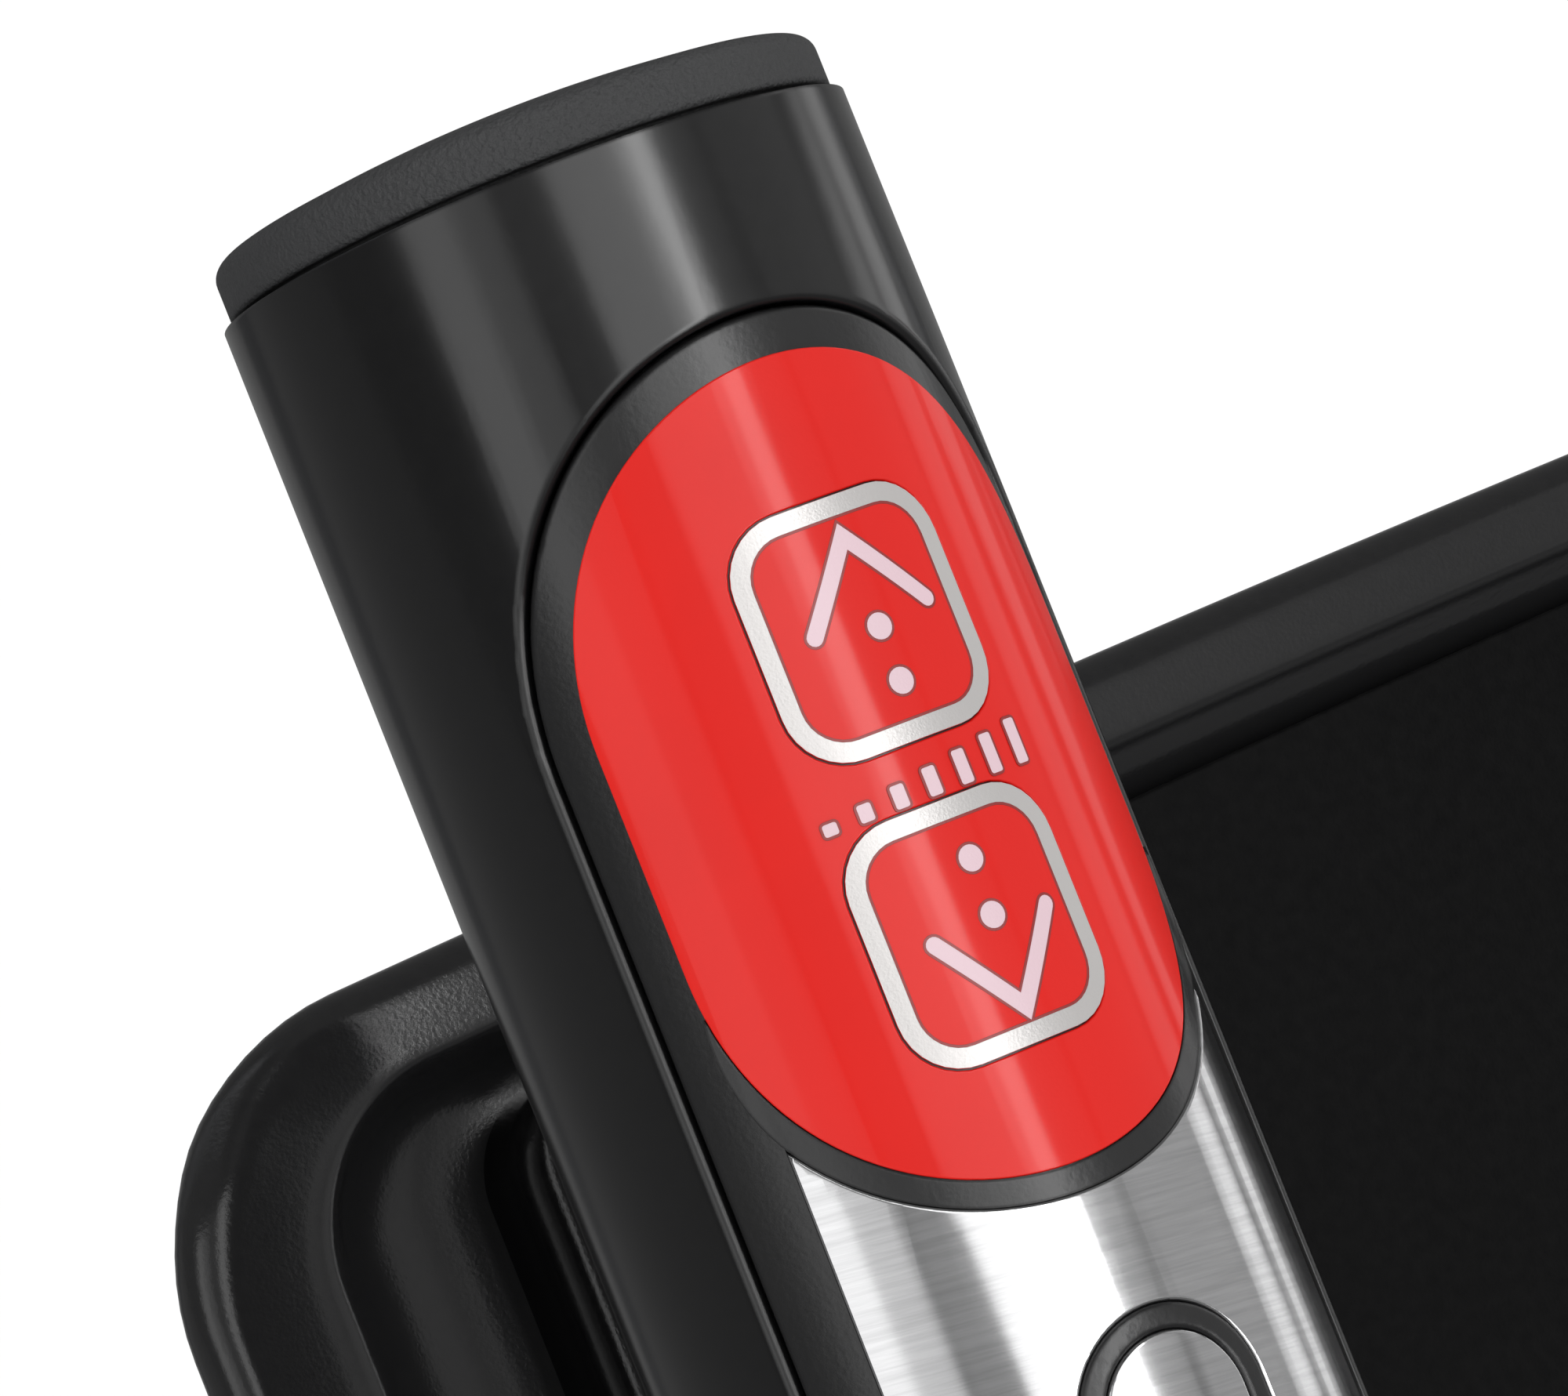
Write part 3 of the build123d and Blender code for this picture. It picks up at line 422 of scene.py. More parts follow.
rubber("foot_rubber", (0.020, 0.020, 0.021), 0.78, 900, 0.00012)
rubber("wheel_rubber", (0.040, 0.041, 0.044), 0.6, 700, 0.00008)
rubber("belt_rubber", (0.018, 0.018, 0.018), 0.7, 1200, 0.00012)
rubber("sleeve_foam", (0.017, 0.017, 0.019), 0.86, 620, 0.0005)

film = Finish("red_film", (0.76, 0.012, 0.007), 0.45, Specular_IOR_Level=0.08,
              Coat_Weight=0.36, Coat_Roughness=0.11)
film_grain = film.group(moulded_grain, Cells_per_metre=3200.0)
film_marks = film.group(handling, Size=60.0)
film.raise_by(film_grain.outputs["Height"], 0.000005)
film.tint(film_marks.outputs["Smudge"], (0.66, 0.009, 0.006), 0.35)
film.roughen(film_marks.outputs["Smudge"], 0.05)
finishes["red_film"] = film.done()


def ink(title, colour, roughness, metallic=0.0):
    """Screen ink: a faint grain and a little unevenness in how thick it lies."""
    finish = Finish(title, colour, roughness, metallic)
    grain = finish.group(moulded_grain, Cells_per_metre=5200.0)
    finish.raise_by(grain.outputs["Height"], 0.000010)
    finish.tint(grain.outputs["Mask"], tuple(c * 0.82 for c in colour), 0.5)
    finishes[title] = finish.done()


ink("silver_ink", (0.56, 0.54, 0.53), 0.34, 0.35)
ink("white_ink", (0.80, 0.58, 0.64), 0.42)
# painted shadow: this dark red is the sheet under each printed mark, standing for the shade at its edge
ink("painted_shadow_red", (0.30, 0.010, 0.008), 0.42)
print("film and inks ready")

# %% [markdown]
# ## Metals and paint
# The pulse contacts are stainless sheet that was brushed before it was bent, so its marks run round
# the grip. Their direction comes from a stored attribute, the flat sheet's own coordinates, and not
# from the bent shape. Rails, rods and posts use the same group with the marks along their length.

# %% Bare metals
def metal(title, colour, roughness, lines, stretch, turn, depth, edge=0.8, vector=None):
    """Bare metal with brush marks. turn swaps the axes so that the marks run the right way."""
    finish = Finish(title, colour, roughness, metallic=1.0)
    if vector:
        finish.vector = add_node(finish.tree, "ShaderNodeAttribute", attribute_name=vector).outputs["Vector"]
    swap = add_node(finish.tree, "ShaderNodeMapping")
    swap.inputs["Rotation"].default_value = tuple(radians(a) for a in turn)
    finish.link(finish.vector, swap.inputs["Vector"])
    finish.vector = swap.outputs["Vector"]
    if edge:
        finish.soften(edge * MM, 0.15, tuple(min(1.0, c * 1.3) for c in colour))
    marks = finish.group(brush_marks, Lines_per_metre=lines, Stretch=stretch)
    hands = finish.group(handling, Size=35.0)
    finish.raise_by(marks.outputs["Height"], depth)
    finish.tint(marks.outputs["Scratches"], tuple(c * 0.6 for c in colour), 0.1)
    finish.tint(marks.outputs["Hairs"], tuple(c * 0.72 for c in colour), 0.6)
    finish.roughen(hands.outputs["Smudge"], 0.06)
    finishes[title] = finish.done()


metal("contact_steel", (0.50, 0.50, 0.505), 0.14, 2400.0, 26.0, (0, 0, 6), 0.000005, 0, "flat")
metal("rail_steel", (0.60, 0.61, 0.63), 0.24, 1500.0, 40.0, (0, 90, 0), 0.00002)
metal("shaft_steel", (0.56, 0.56, 0.57), 0.30, 2500.0, 30.0, (90, 0, 90), 0.00002)
metal("post_chrome", (0.55, 0.56, 0.58), 0.20, 1200.0, 60.0, (0, 90, 0), 0.000004)
metal("magnet_steel", (0.46, 0.46, 0.48), 0.35, 2500.0, 20.0, (0, 90, 0), 0.00002)
metal("carriage_alloy", (0.50, 0.51, 0.53), 0.42, 800.0, 3.0, (0, 90, 0), 0.00006, 1.4)
metal("flywheel_iron", (0.17, 0.17, 0.175), 0.40, 2200.0, 12.0, (0, 90, 0), 0.00004, 1.2)
print("metals ready")

# %% [markdown]
# The frame is powder coated: a fine orange peel under a satin surface, rubbed to a lighter grey on
# its edges. The circuit board is here too, because its solder mask is also a coat over a base.

# %% Powder coat and circuit board
def powder_coat(title, colour, roughness):
    """Powder paint: orange peel, dust on top and edges rubbed lighter."""
    finish = Finish(title, colour, roughness, Coat_Weight=0.15, Coat_Roughness=0.3)
    finish.soften(1.6 * MM, 0.35, (0.16, 0.16, 0.165))
    peel = finish.group(moulded_grain, Cells_per_metre=520.0, Patchiness=0.2)
    marks = finish.group(handling, Size=9.0)
    finish.raise_by(peel.outputs["Height"], 0.00014)
    finish.tint(marks.outputs["Dust"], (0.30, 0.30, 0.29), 0.10)
    finish.roughen(marks.outputs["Smudge"], 0.08)
    finishes[title] = finish.done()


powder_coat("frame_paint", (0.030, 0.031, 0.034), 0.42)
powder_coat("mast_paint", (0.020, 0.0205, 0.023), 0.36)
board = Finish("board_green", (0.02, 0.13, 0.05), 0.35)
traces = board.group(moulded_grain, Cells_per_metre=900.0)
board.tint(traces.outputs["Mask"], (0.05, 0.24, 0.08), 0.7)
board.raise_by(traces.outputs["Height"], 0.00003)
finishes["board_green"] = board.done()
print(len(finishes), "finishes")

# %% [markdown]
# ## Finishes on the frame's own parts
# Parts whose CAD shape is right keep it and only change material. The record names each part's
# material slot, so one loop dresses the whole machine.

# %% Dress the CAD parts
slot_of = {part["node"]: part["material_slot"] for part in frame["record"]["subparts"]}
for name, node in frame["nodes"].items():
    for place in range(len(node.material_slots)):
        node.material_slots[place].material = finishes[slot_of[name]]
print("dressed", len(slot_of), "parts")

# %% [markdown]
# ## Flat work, bent round the grip
# The pad, the keys, the contacts and even the printed marks are all sheets bent to the same tube.
# Each is drawn flat, filled, given its thickness and a rounded edge, then cut into narrow strips
# and bent. Boolean cuts on a cylinder could do it too, but they leave ragged edges exactly where
# the light runs along them. Cutting first means that the bent sheet stays smooth.

# %% Outlines
def obround(half, top, end, steps=40):
    """Slot with round ends, from its half width and its two ends."""
    upper, lower = top - half, end + half
    points = []
    for centre, start in ((upper, 0.0), (lower, pi)):
        for k in range(steps + 1):
            turn = start + pi * k / steps
            points.append((half * cos(turn), centre + half * sin(turn)))
    return points


def rounded_box(half_w, half_h, middle, corner, steps=8):
    """Rounded rectangle about a point, anticlockwise."""
    points = []
    for quarter, (sx, sy) in enumerate(((1, 1), (-1, 1), (-1, -1), (1, -1))):
        for k in range(steps + 1):
            turn = pi / 2 * (quarter + k / steps)
            points.append((middle[0] + sx * (half_w - corner) + corner * cos(turn),
                           middle[1] + sy * (half_h - corner) + corner * sin(turn)))
    return points


print("slot points", len(obround(1.0, 5.0, 0.0)))

# %% [markdown]
# Filling an outline with holes, then lifting it, gives a solid sheet. Only the upper edges are
# rounded, because the lower ones are hidden. The flat coordinates are kept in an attribute called
# `flat`, which the brushed steel reads.

# %% Sheet maker
def filled(outline, holes=()):
    """Flat bmesh face or faces inside an outline and outside its holes."""
    mesh = bmesh.new()
    edges = []
    for loop in (outline, *holes):
        corners = [mesh.verts.new((x, y, 0)) for x, y in loop]
        edges += [mesh.edges.new((a, b)) for a, b in zip(corners, corners[1:] + corners[:1])]
    bmesh.ops.triangle_fill(mesh, use_beauty=True, use_dissolve=True, edges=edges)
    bmesh.ops.recalc_face_normals(mesh, faces=mesh.faces)
    if sum(face.normal.z * face.calc_area() for face in mesh.faces) < 0:
        bmesh.ops.reverse_faces(mesh, faces=mesh.faces)
    return mesh


def thickened(mesh, thickness, edge, seam=None, segments=3):
    """Gives a flat mesh its thickness, and rounds the upper edges away from a seam."""
    bottom = list(mesh.faces)
    lifted = bmesh.ops.extrude_face_region(mesh, geom=bottom, use_keep_orig=True)
    top = {item for item in lifted["geom"] if isinstance(item, bmesh.types.BMFace)}
    for item in lifted["geom"]:
        if isinstance(item, bmesh.types.BMVert):
            item.co.z = thickness
    bmesh.ops.reverse_faces(mesh, faces=bottom)
    if edge:
        lip = [e for e in mesh.edges if sum(f in top for f in e.link_faces) == 1
               and not (seam and all(abs(abs(v.co.x) - seam) < 1e-7 for v in e.verts))]
        bmesh.ops.bevel(mesh, geom=lip, offset=edge, segments=segments, profile=0.5,
                        affect="EDGES", clamp_overlap=False)
    return mesh


print("sheet maker ready")

# %% [markdown]
# A mesh becomes an object in one place, so that every piece gets smooth faces, sharp folds and even
# normals. The grips are mirror images, so a right-hand piece is the left-hand mesh turned over.

# %% From mesh to object
def finish_mesh(name, mesh, material, angle=35.0, weighted=True):
    """Turns a bmesh into an object with smooth faces and sharp folds."""
    data = bpy.data.meshes.new(name)
    mesh.normal_update()
    mesh.to_mesh(data)
    mesh.free()
    for face in data.polygons:
        face.use_smooth = True
    data.set_sharp_from_angle(angle=radians(angle))
    data.materials.append(material)
    thing = bpy.data.objects.new(name, data)
    bpy.context.scene.collection.objects.link(thing)
    if weighted:
        even = thing.modifiers.new("even normals", "WEIGHTED_NORMAL")
        even.keep_sharp = True
    return thing


def mirrored_copy(thing, name):
    """The same piece for the user's right side."""
    data = thing.data.copy()
    data.transform(Matrix.Scale(-1, 4, RIGHT))
    data.flip_normals()
    twin = bpy.data.objects.new(name, data)
    bpy.context.scene.collection.objects.link(twin)
    for modifier in thing.modifiers:
        if modifier.type == "WEIGHTED_NORMAL":
            twin.modifiers.new("even normals", "WEIGHTED_NORMAL").keep_sharp = True
    return twin


print("object helpers ready")

# %% [markdown]
# Bending is a change of coordinates: the flat sheet's way round becomes an angle, and its height
# becomes a radius. A face can't bend, so the sheet is first cut into strips narrow enough to look
# round. A sheet that goes all the way round is closed by joining its two ends.

# %% Bend a sheet round the grip
STRIP = 0.7 * MM


def bend(mesh, base_radius, closed=False):
    """Cuts a thick sheet into strips and bends it round the grip. X is the way round."""
    low = min(v.co.x for v in mesh.verts)
    high = max(v.co.x for v in mesh.verts)
    count = int((high - low) / STRIP)
    for k in range(1, count):
        cut = low + (high - low) * k / count
        everything = mesh.verts[:] + mesh.edges[:] + mesh.faces[:]
        bmesh.ops.bisect_plane(mesh, geom=everything, dist=1e-8, plane_co=(cut, 0, 0), plane_no=(1, 0, 0))
    if closed:
        ends = [f for f in mesh.faces if all(abs(abs(v.co.x) - high) < 1e-7 for v in f.verts)]
        bmesh.ops.delete(mesh, geom=ends, context="FACES")
    flat = mesh.verts.layers.float_vector.new("flat")
    for v in mesh.verts:
        v[flat] = v.co.copy()
        v.co = round_grip(v.co.x, v.co.y, base_radius + v.co.z)
    if closed:
        bmesh.ops.remove_doubles(mesh, verts=mesh.verts, dist=1e-7)
    return mesh


def pair(name, mesh, finish, part=None, bodies=("column", "column")):
    """Places a piece of the left grip and its mirror image on the right one."""
    left = finish_mesh("left_" + name, mesh, finishes[finish])
    right = mirrored_copy(left, "right_" + name)
    for thing, side, body in ((left, "left", bodies[0]), (right, "right", bodies[1])):
        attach(thing, body)
        if part:
            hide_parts(f"{side}_{part}")
    return left, right


print("bending strips of", STRIP / MM, "mm")

# %% [markdown]
# ## The gloss shell
# The shell is one moulded tube with a long window for the keypad carrier. It is drawn as a sheet as
# wide as the tube is round, with the window cut in it, and bent until its ends meet. The ends get a
# fine rounded lip, which is the thin bright line that runs round a real moulding.

# %% Gloss shell
GRIP_LENGTH = 165.0 * MM
SHELL_T = 3.0 * MM
CARRIER_HALF, CARRIER_TOP, CARRIER_END = 20.2 * MM, -11.2 * MM, -157.0 * MM
half_round = pi * GRIP_R
sheet = [(-half_round, -GRIP_LENGTH), (half_round, -GRIP_LENGTH), (half_round, 0.0), (-half_round, 0.0)]
window = obround(CARRIER_HALF, CARRIER_TOP, CARRIER_END, 64)
shell_mesh = thickened(filled(sheet, [window]), SHELL_T, 0.55 * MM, seam=half_round)
bend(shell_mesh, GRIP_R - SHELL_T, closed=True)
gloss_shell, _ = pair("gloss_shell", shell_mesh, "shell_gloss", part="grip_shell")
print("shell faces", len(gloss_shell.data.polygons))

# %% [markdown]
# ## The end cap
# The cap is a turned shape: a straight band, a soft shoulder and a low dome. It is made by turning
# a profile, which is how the tool for it is cut. Its waist is a little narrower than the tube, so a
# thin dark line shows between the two.

# %% End cap
def turned(profile, segments=160, place=on_grip, mesh=None):
    """Solid of revolution from (radius, up) points that end on the axis. place puts it in space."""
    mesh = mesh or bmesh.new()
    rings = []
    for radius, up in profile:
        if radius == 0:
            rings.append([mesh.verts.new(place(0, 0, up))])
        else:
            rings.append([mesh.verts.new(place(radius * cos(2 * pi * k / segments),
                                               radius * sin(2 * pi * k / segments), up))
                          for k in range(segments)])
    for lower, upper in zip(rings, rings[1:]):
        for k in range(segments):
            n = (k + 1) % segments
            if len(lower) == 1:
                mesh.faces.new((lower[0], upper[n], upper[k]))
            elif len(upper) == 1:
                mesh.faces.new((lower[k], lower[n], upper[0]))
            else:
                mesh.faces.new((lower[k], lower[n], upper[n], upper[k]))
    bmesh.ops.recalc_face_normals(mesh, faces=mesh.faces)
    return mesh


def arc_points(centre, radius, start, stop, steps):
    """(radius, up) points of an arc, angles in degrees from the outward direction."""
    return [(centre[0] + radius * cos(radians(start + (stop - start) * k / steps)),
             centre[1] + radius * sin(radians(start + (stop - start) * k / steps)))
            for k in range(steps + 1)]


CAP_R, CAP_BAND, CAP_CROWN, SHOULDER = 18.4 * MM, 3.7 * MM, 5.4 * MM, 1.0 * MM
face_r, rise = CAP_R - SHOULDER, CAP_CROWN - CAP_BAND
dome_r = (face_r ** 2 + rise ** 2) / (2 * rise)
slope = degrees(atan2(face_r, dome_r - rise))
profile = [(0, -14 * MM), (15.7 * MM, -14 * MM), (15.7 * MM, -0.1 * MM), (17.3 * MM, -0.1 * MM),
           (17.3 * MM, 0.4 * MM), (CAP_R - 0.25 * MM, 0.4 * MM)]
profile += arc_points((CAP_R - 0.25 * MM, 0.65 * MM), 0.25 * MM, -90, 0, 4)[1:]
profile += arc_points((CAP_R - SHOULDER, CAP_BAND - SHOULDER), SHOULDER, 0, 90 - slope, 10)
profile += [(dome_r * sin(radians(slope * (1 - k / 12))),
             CAP_CROWN - dome_r + dome_r * cos(radians(slope * (1 - k / 12)))) for k in range(1, 12)]
profile += [(0, CAP_CROWN)]
end_cap, _ = pair("end_cap", turned(profile), "cap_texture", part="grip_end_cap")
print("cap dome radius mm", round(dome_r / MM, 1))

# %% [markdown]
# ## Keypad carrier, film and keys
# The carrier is a satin frame set into the shell. The red film lies in it, and the two keys are cut
# free of the film by a hair's breadth. Between the film and the carrier there is a fine step, which
# is what makes the red look laid in and not painted on.

# %% Carrier
PAD_HALF, PAD_TOP, PAD_END = 17.04 * MM, -13.9 * MM, -61.1 * MM
KEY_HALF, KEY_HALF_H, KEY_CORNER = 6.75 * MM, 7.1 * MM, 3.6 * MM
KEY_UP = {"up": -29.45 * MM, "down": -47.15 * MM}
KEY_SIDE = {"up": 0.1 * MM, "down": -0.25 * MM}
ISLAND_HALF, ISLAND_TOP, ISLAND_END = 4.5 * MM, -71.2 * MM, -136.5 * MM
RING = 1.5 * MM
PLATE_HALF, PLATE_TOP, PLATE_END = 16.0 * MM, -54.8 * MM, -146.0 * MM
FIT = 0.12 * MM
CARRIER_R, CARRIER_T = 18.7 * MM, 2.6 * MM
carrier_outline = obround(CARRIER_HALF - FIT, CARRIER_TOP - FIT, CARRIER_END + FIT, 64)
carrier_mesh = thickened(filled(carrier_outline), CARRIER_T, 0.5 * MM)
bend(carrier_mesh, CARRIER_R - CARRIER_T)
pair("carrier", carrier_mesh, "carrier_satin", part="keypad_carrier")
print("carrier radius mm", CARRIER_R / MM)

# %% [markdown]
# Where the film meets the steel, the carrier has a round bead that keeps the two apart. The island
# has a bead all the way round it. Both beads stand a little proud, and their round tops catch the
# light. They are narrow sheets here, with an edge rounding as large as they allow.

# %% Insulating beads
centre_up = PAD_END + PAD_HALF
bead_outline = []
for k in range(91):
    share = abs(k / 45 - 1)
    wide = PAD_HALF + max(0.02 * MM, RING * (1 - max(0.0, share - 0.6) ** 2 / 0.16))
    turn = radians(188 + 164 * k / 90)
    bead_outline.append((wide * cos(turn), centre_up + wide * sin(turn)))
for k in range(91):
    turn = radians(352 - 164 * k / 90)
    bead_outline.append((PAD_HALF * cos(turn), centre_up + PAD_HALF * sin(turn)))
bead_mesh = thickened(filled(bead_outline), 0.42 * MM, 0.0)
for v in bead_mesh.verts:
    ring = hypot(v.co.x, v.co.y - centre_up) - PAD_HALF
    v.co.z *= 1.0 if 0.02 * MM < ring < RING - 0.02 * MM else 0.72
bend(bead_mesh, GRIP_R - 0.3 * MM)
pair("pad_bead", bead_mesh, "carrier_satin")
ring_outer = obround(ISLAND_HALF + RING, ISLAND_TOP + RING, ISLAND_END - RING, 32)
ring_inner = obround(ISLAND_HALF, ISLAND_TOP, ISLAND_END, 32)
ring_mesh = thickened(filled(ring_outer, [ring_inner]), 0.50 * MM, 0.35 * MM)
bend(ring_mesh, GRIP_R - 0.3 * MM)
pair("insulating_ring", ring_mesh, "carrier_satin")
print("bead width mm", RING / MM)

# %% [markdown]
# The film is one thin sheet with a window for each key. The key caps are thicker, because they reach
# down to the switches on the board, and they ride on their own bodies, so each one can be pressed.

# %% Film and key caps
FILM_T, KEY_CAP_T = 0.33 * MM, 1.64 * MM


def key_outline(key, grow=0.0):
    """Rounded square of one key, grown by a little or shrunk."""
    middle = (KEY_SIDE[key], KEY_UP[key])
    return rounded_box(KEY_HALF + grow, KEY_HALF_H + grow, middle, KEY_CORNER + grow)


film_outline = obround(PAD_HALF - 0.05 * MM, PAD_TOP - 0.05 * MM, PAD_END + 0.05 * MM, 64)
film_windows = [key_outline(key, 0.1 * MM) for key in KEY_UP]
film_mesh = thickened(filled(film_outline, film_windows), FILM_T, 0.12 * MM)
bend(film_mesh, GRIP_R - FILM_T)
pair("film", film_mesh, "red_film", part="keypad_overlay")
for key in KEY_UP:
    cap_mesh = thickened(filled(key_outline(key)), KEY_CAP_T, 0.10 * MM)
    bend(cap_mesh, GRIP_R - 1.6 * MM)
    pair(f"{key}_key_cap", cap_mesh, "red_film", part=f"key_{key}",
         bodies=(f"left_{key}_button", f"right_{key}_button"))
print("keys", list(KEY_UP))

# %% [markdown]
# ## Printed marks
# The keys carry a silver frame, a chevron and two dots, and between them is a row of rising bars
# that says slope without a word. Print has thickness on a real pad, because it is screen printed,
# so each mark is a very thin bent sheet. A slightly larger dark red sheet under it is painted
# shadow, the shade that lies round the mark's edge.

# %% Marks on the pad
INK_T = 0.035 * MM
SHADE_GROW = 0.16 * MM


def round_end(x, y, way, half, start, steps=8):
    """Half circle that ends a stroke, from an angle off the stroke's way."""
    points = []
    for k in range(steps + 1):
        away = Matrix.Rotation(start + pi * k / steps, 2) @ way
        points.append((x + half * away.x, y + half * away.y))
    return points


def stroke(points, half):
    """Outline of a bent stroke with round ends through three points."""
    (ax, ay), (bx, by), (cx, cy) = points
    first = Vector((bx - ax, by - ay)).normalized()
    second = Vector((cx - bx, cy - by)).normalized()
    bisector = (second - first).normalized()
    reach = half / max(0.2, abs(first.cross(bisector)))
    inner = [(bx + bisector.x * reach, by + bisector.y * reach)]
    outer = [(bx - bisector.x * reach, by - bisector.y * reach)]
    if first.cross(second) < 0:
        inner, outer = outer, inner
    left = round_end(ax, ay, first, half, pi / 2)
    right = round_end(cx, cy, second, half, -pi / 2)
    return left + outer + right + inner


def dot(x, y, radius, steps=24):
    """Outline of a round dot."""
    turns = [2 * pi * k / steps for k in range(steps)]
    return [(x + radius * cos(turn), y + radius * sin(turn)) for turn in turns]


def printed(name, make, bodies=("column", "column"), colour="white_ink"):
    """Prints one mark. make(grow) gives its outline and holes, grown by that much."""
    # the shade sheet is painted shadow: a slightly larger dark red sheet under the mark, for the shade round its
    # edge
    for title, finish, grow, radius in (("shade", "painted_shadow_red", SHADE_GROW, 0.02 * MM),
                                        ("ink", colour, 0.0, 0.04 * MM)):
        outline, holes = make(grow)
        mark = thickened(filled(outline, holes), INK_T, 0.012 * MM, segments=1)
        bend(mark, GRIP_R + radius)
        pair(f"{name}_{title}", mark, finish, bodies=bodies)


print("ink thickness mm", INK_T / MM)

# %% [markdown]
# A key's frame, chevron and dots ride on the key's body, so they move with it when it is pressed.
# The slope bars are on the film and stay where they are. Places here are in millimetres from the
# grip's rim, as a printer's drawing gives them.

# %% Frames, chevrons and dots
FRAME_LINE = 1.12 * MM
CHEVRON = {"up": ((-3.25, -29.4), (0.5, -24.7), (4.25, -29.4)),
           "down": ((-3.45, -47.3), (0.25, -52.2), (4.0, -47.4))}
DOTS = {"up": ((0.6, -30.0), (0.6, -33.2)), "down": ((0.5, -43.6), (0.45, -46.9))}
for key in KEY_UP:
    buttons = (f"left_{key}_button", f"right_{key}_button")
    edge = -0.02 * MM
    printed(f"{key}_frame", lambda grow: (
        key_outline(key, edge), [key_outline(key, edge - FRAME_LINE - grow)]), buttons, "silver_ink")
    route = [(x * MM, y * MM) for x, y in CHEVRON[key]]
    printed(f"{key}_chevron", lambda grow: (stroke(route, 0.48 * MM + grow), []), buttons)
    for count, (x, y) in enumerate(DOTS[key]):
        printed(f"{key}_dot_{count + 1}", lambda grow: (
            dot(x * MM, y * MM, 0.76 * MM + grow), []), buttons)
BARS, BAR_FOOT, BAR_HALF = 7, -39.75 * MM, 0.42 * MM
for k in range(BARS):
    tall = (0.7 + 1.9 * k / (BARS - 1)) * MM
    middle = ((-6.4 + 12.9 * k / (BARS - 1)) * MM, BAR_FOOT + tall / 2)
    printed(f"slope_bar_{k + 1}", lambda grow: (
        rounded_box(BAR_HALF + grow, tall / 2 + grow, middle, 0.15 * MM + grow, 3), []))
print("marks printed")

# %% [markdown]
# ## Pulse contacts
# Two contacts sit under the film: a wide plate that follows the film's round end, and a long island
# in an insulating ring. Both are stainless sheet, so they are drawn flat and bent like the rest,
# and their edges are rolled over a little more, where they shine.

# %% Contact plates
PLATE_SUNK = 0.32 * MM


def plate_outline():
    """Wide contact: straight sides, small corners, and a top that follows the film's end."""
    rim = PAD_HALF + RING
    corner = 1.0 * MM
    points = []
    top = min(PLATE_TOP, centre_up - sqrt(rim ** 2 - PLATE_HALF ** 2))
    first = atan2(top - centre_up, PLATE_HALF - 0.25 * MM)
    last = atan2(top - centre_up, -(PLATE_HALF - 0.25 * MM))
    for k in range(41):
        turn = first + (last - first) * k / 40
        points.append((rim * cos(turn), centre_up + rim * sin(turn)))
    for x, start in ((-PLATE_HALF + corner, pi), (PLATE_HALF - corner, 1.5 * pi)):
        for k in range(7):
            turn = start + pi / 2 * k / 6
            points.append((x + corner * cos(turn), PLATE_END + corner + corner * sin(turn)))
    return points


island_hole = obround(ISLAND_HALF + RING, ISLAND_TOP + RING, ISLAND_END - RING, 32)
plate_mesh = thickened(filled(plate_outline(), [island_hole]), 0.45 * MM, 0.28 * MM)
bend(plate_mesh, GRIP_R - PLATE_SUNK)
pair("contact_plate", plate_mesh, "contact_steel", part="pulse_plate")
island_mesh = thickened(filled(obround(ISLAND_HALF, ISLAND_TOP, ISLAND_END, 32)), 0.5 * MM, 0.3 * MM)
bend(island_mesh, GRIP_R - PLATE_SUNK)
pair("contact_island", island_mesh, "contact_steel", part="pulse_island")
print("contacts ready")

# %% [markdown]
# ## Small solids
# Many details are small prisms or turned pieces: treads, vents, nuts and screw heads. They share one
# way to be placed, a function that takes two distances across and one up and gives a point. So the
# same few lines make a tread rib that lies flat and a screw that looks sideways.

# %% Small solids to build with
def frame_at(origin, axis, out=None):
    """Place function for a piece turned about any axis."""
    axis = axis.normalized()
    first = out or (X if abs(axis.x) < 0.9 else Z)
    first = (first - axis * first.dot(axis)).normalized()
    second = axis.cross(first)
    return lambda a, b, c: origin + first * a + second * b + axis * c


def skin(mesh, rings):
    """Joins each ring of vertices to the next with a band of faces."""
    for lower, upper in zip(rings, rings[1:]):
        for k in range(len(lower)):
            n = (k + 1) % len(lower)
            mesh.faces.new((lower[k], lower[n], upper[n], upper[k]))


def add_prism(mesh, outline, place, height, chamfer=0.0):
    """Adds a flat-bottomed prism with a chamfered top. outline is a list of (a, b) points."""
    middle = Vector((sum(p[0] for p in outline), sum(p[1] for p in outline))) / len(outline)
    rows = [(0.0, 0.0), (height - chamfer, 0.0)] + ([(height, chamfer)] if chamfer else [])
    rings = []
    for up, inset in rows:
        ring = []
        for a, b in outline:
            away = Vector((a, b)) - middle
            away *= max(0.0, 1 - inset / max(away.length, 1e-9))
            ring.append(mesh.verts.new(place(middle.x + away.x, middle.y + away.y, up)))
        rings.append(ring)
    skin(mesh, rings)
    mesh.faces.new(list(reversed(rings[0])))
    mesh.faces.new(rings[-1])


def made_of(name, mesh, finish, body, angle=35.0):
    """Finishes a mesh and puts it on a body."""
    bmesh.ops.recalc_face_normals(mesh, faces=mesh.faces)
    thing = finish_mesh(name, mesh, finishes[finish], angle)
    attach(thing, body)
    return thing


print("prism helper ready")

# %% [markdown]
# ## Console
# The console's front is a rounded rim round a sunk channel, with a raised panel inside. It is made
# as rings: the same rounded outline, drawn again and again, each time further in and at another
# depth. That gives a rim whose roundness is a real surface, so the corner takes a soft highlight.

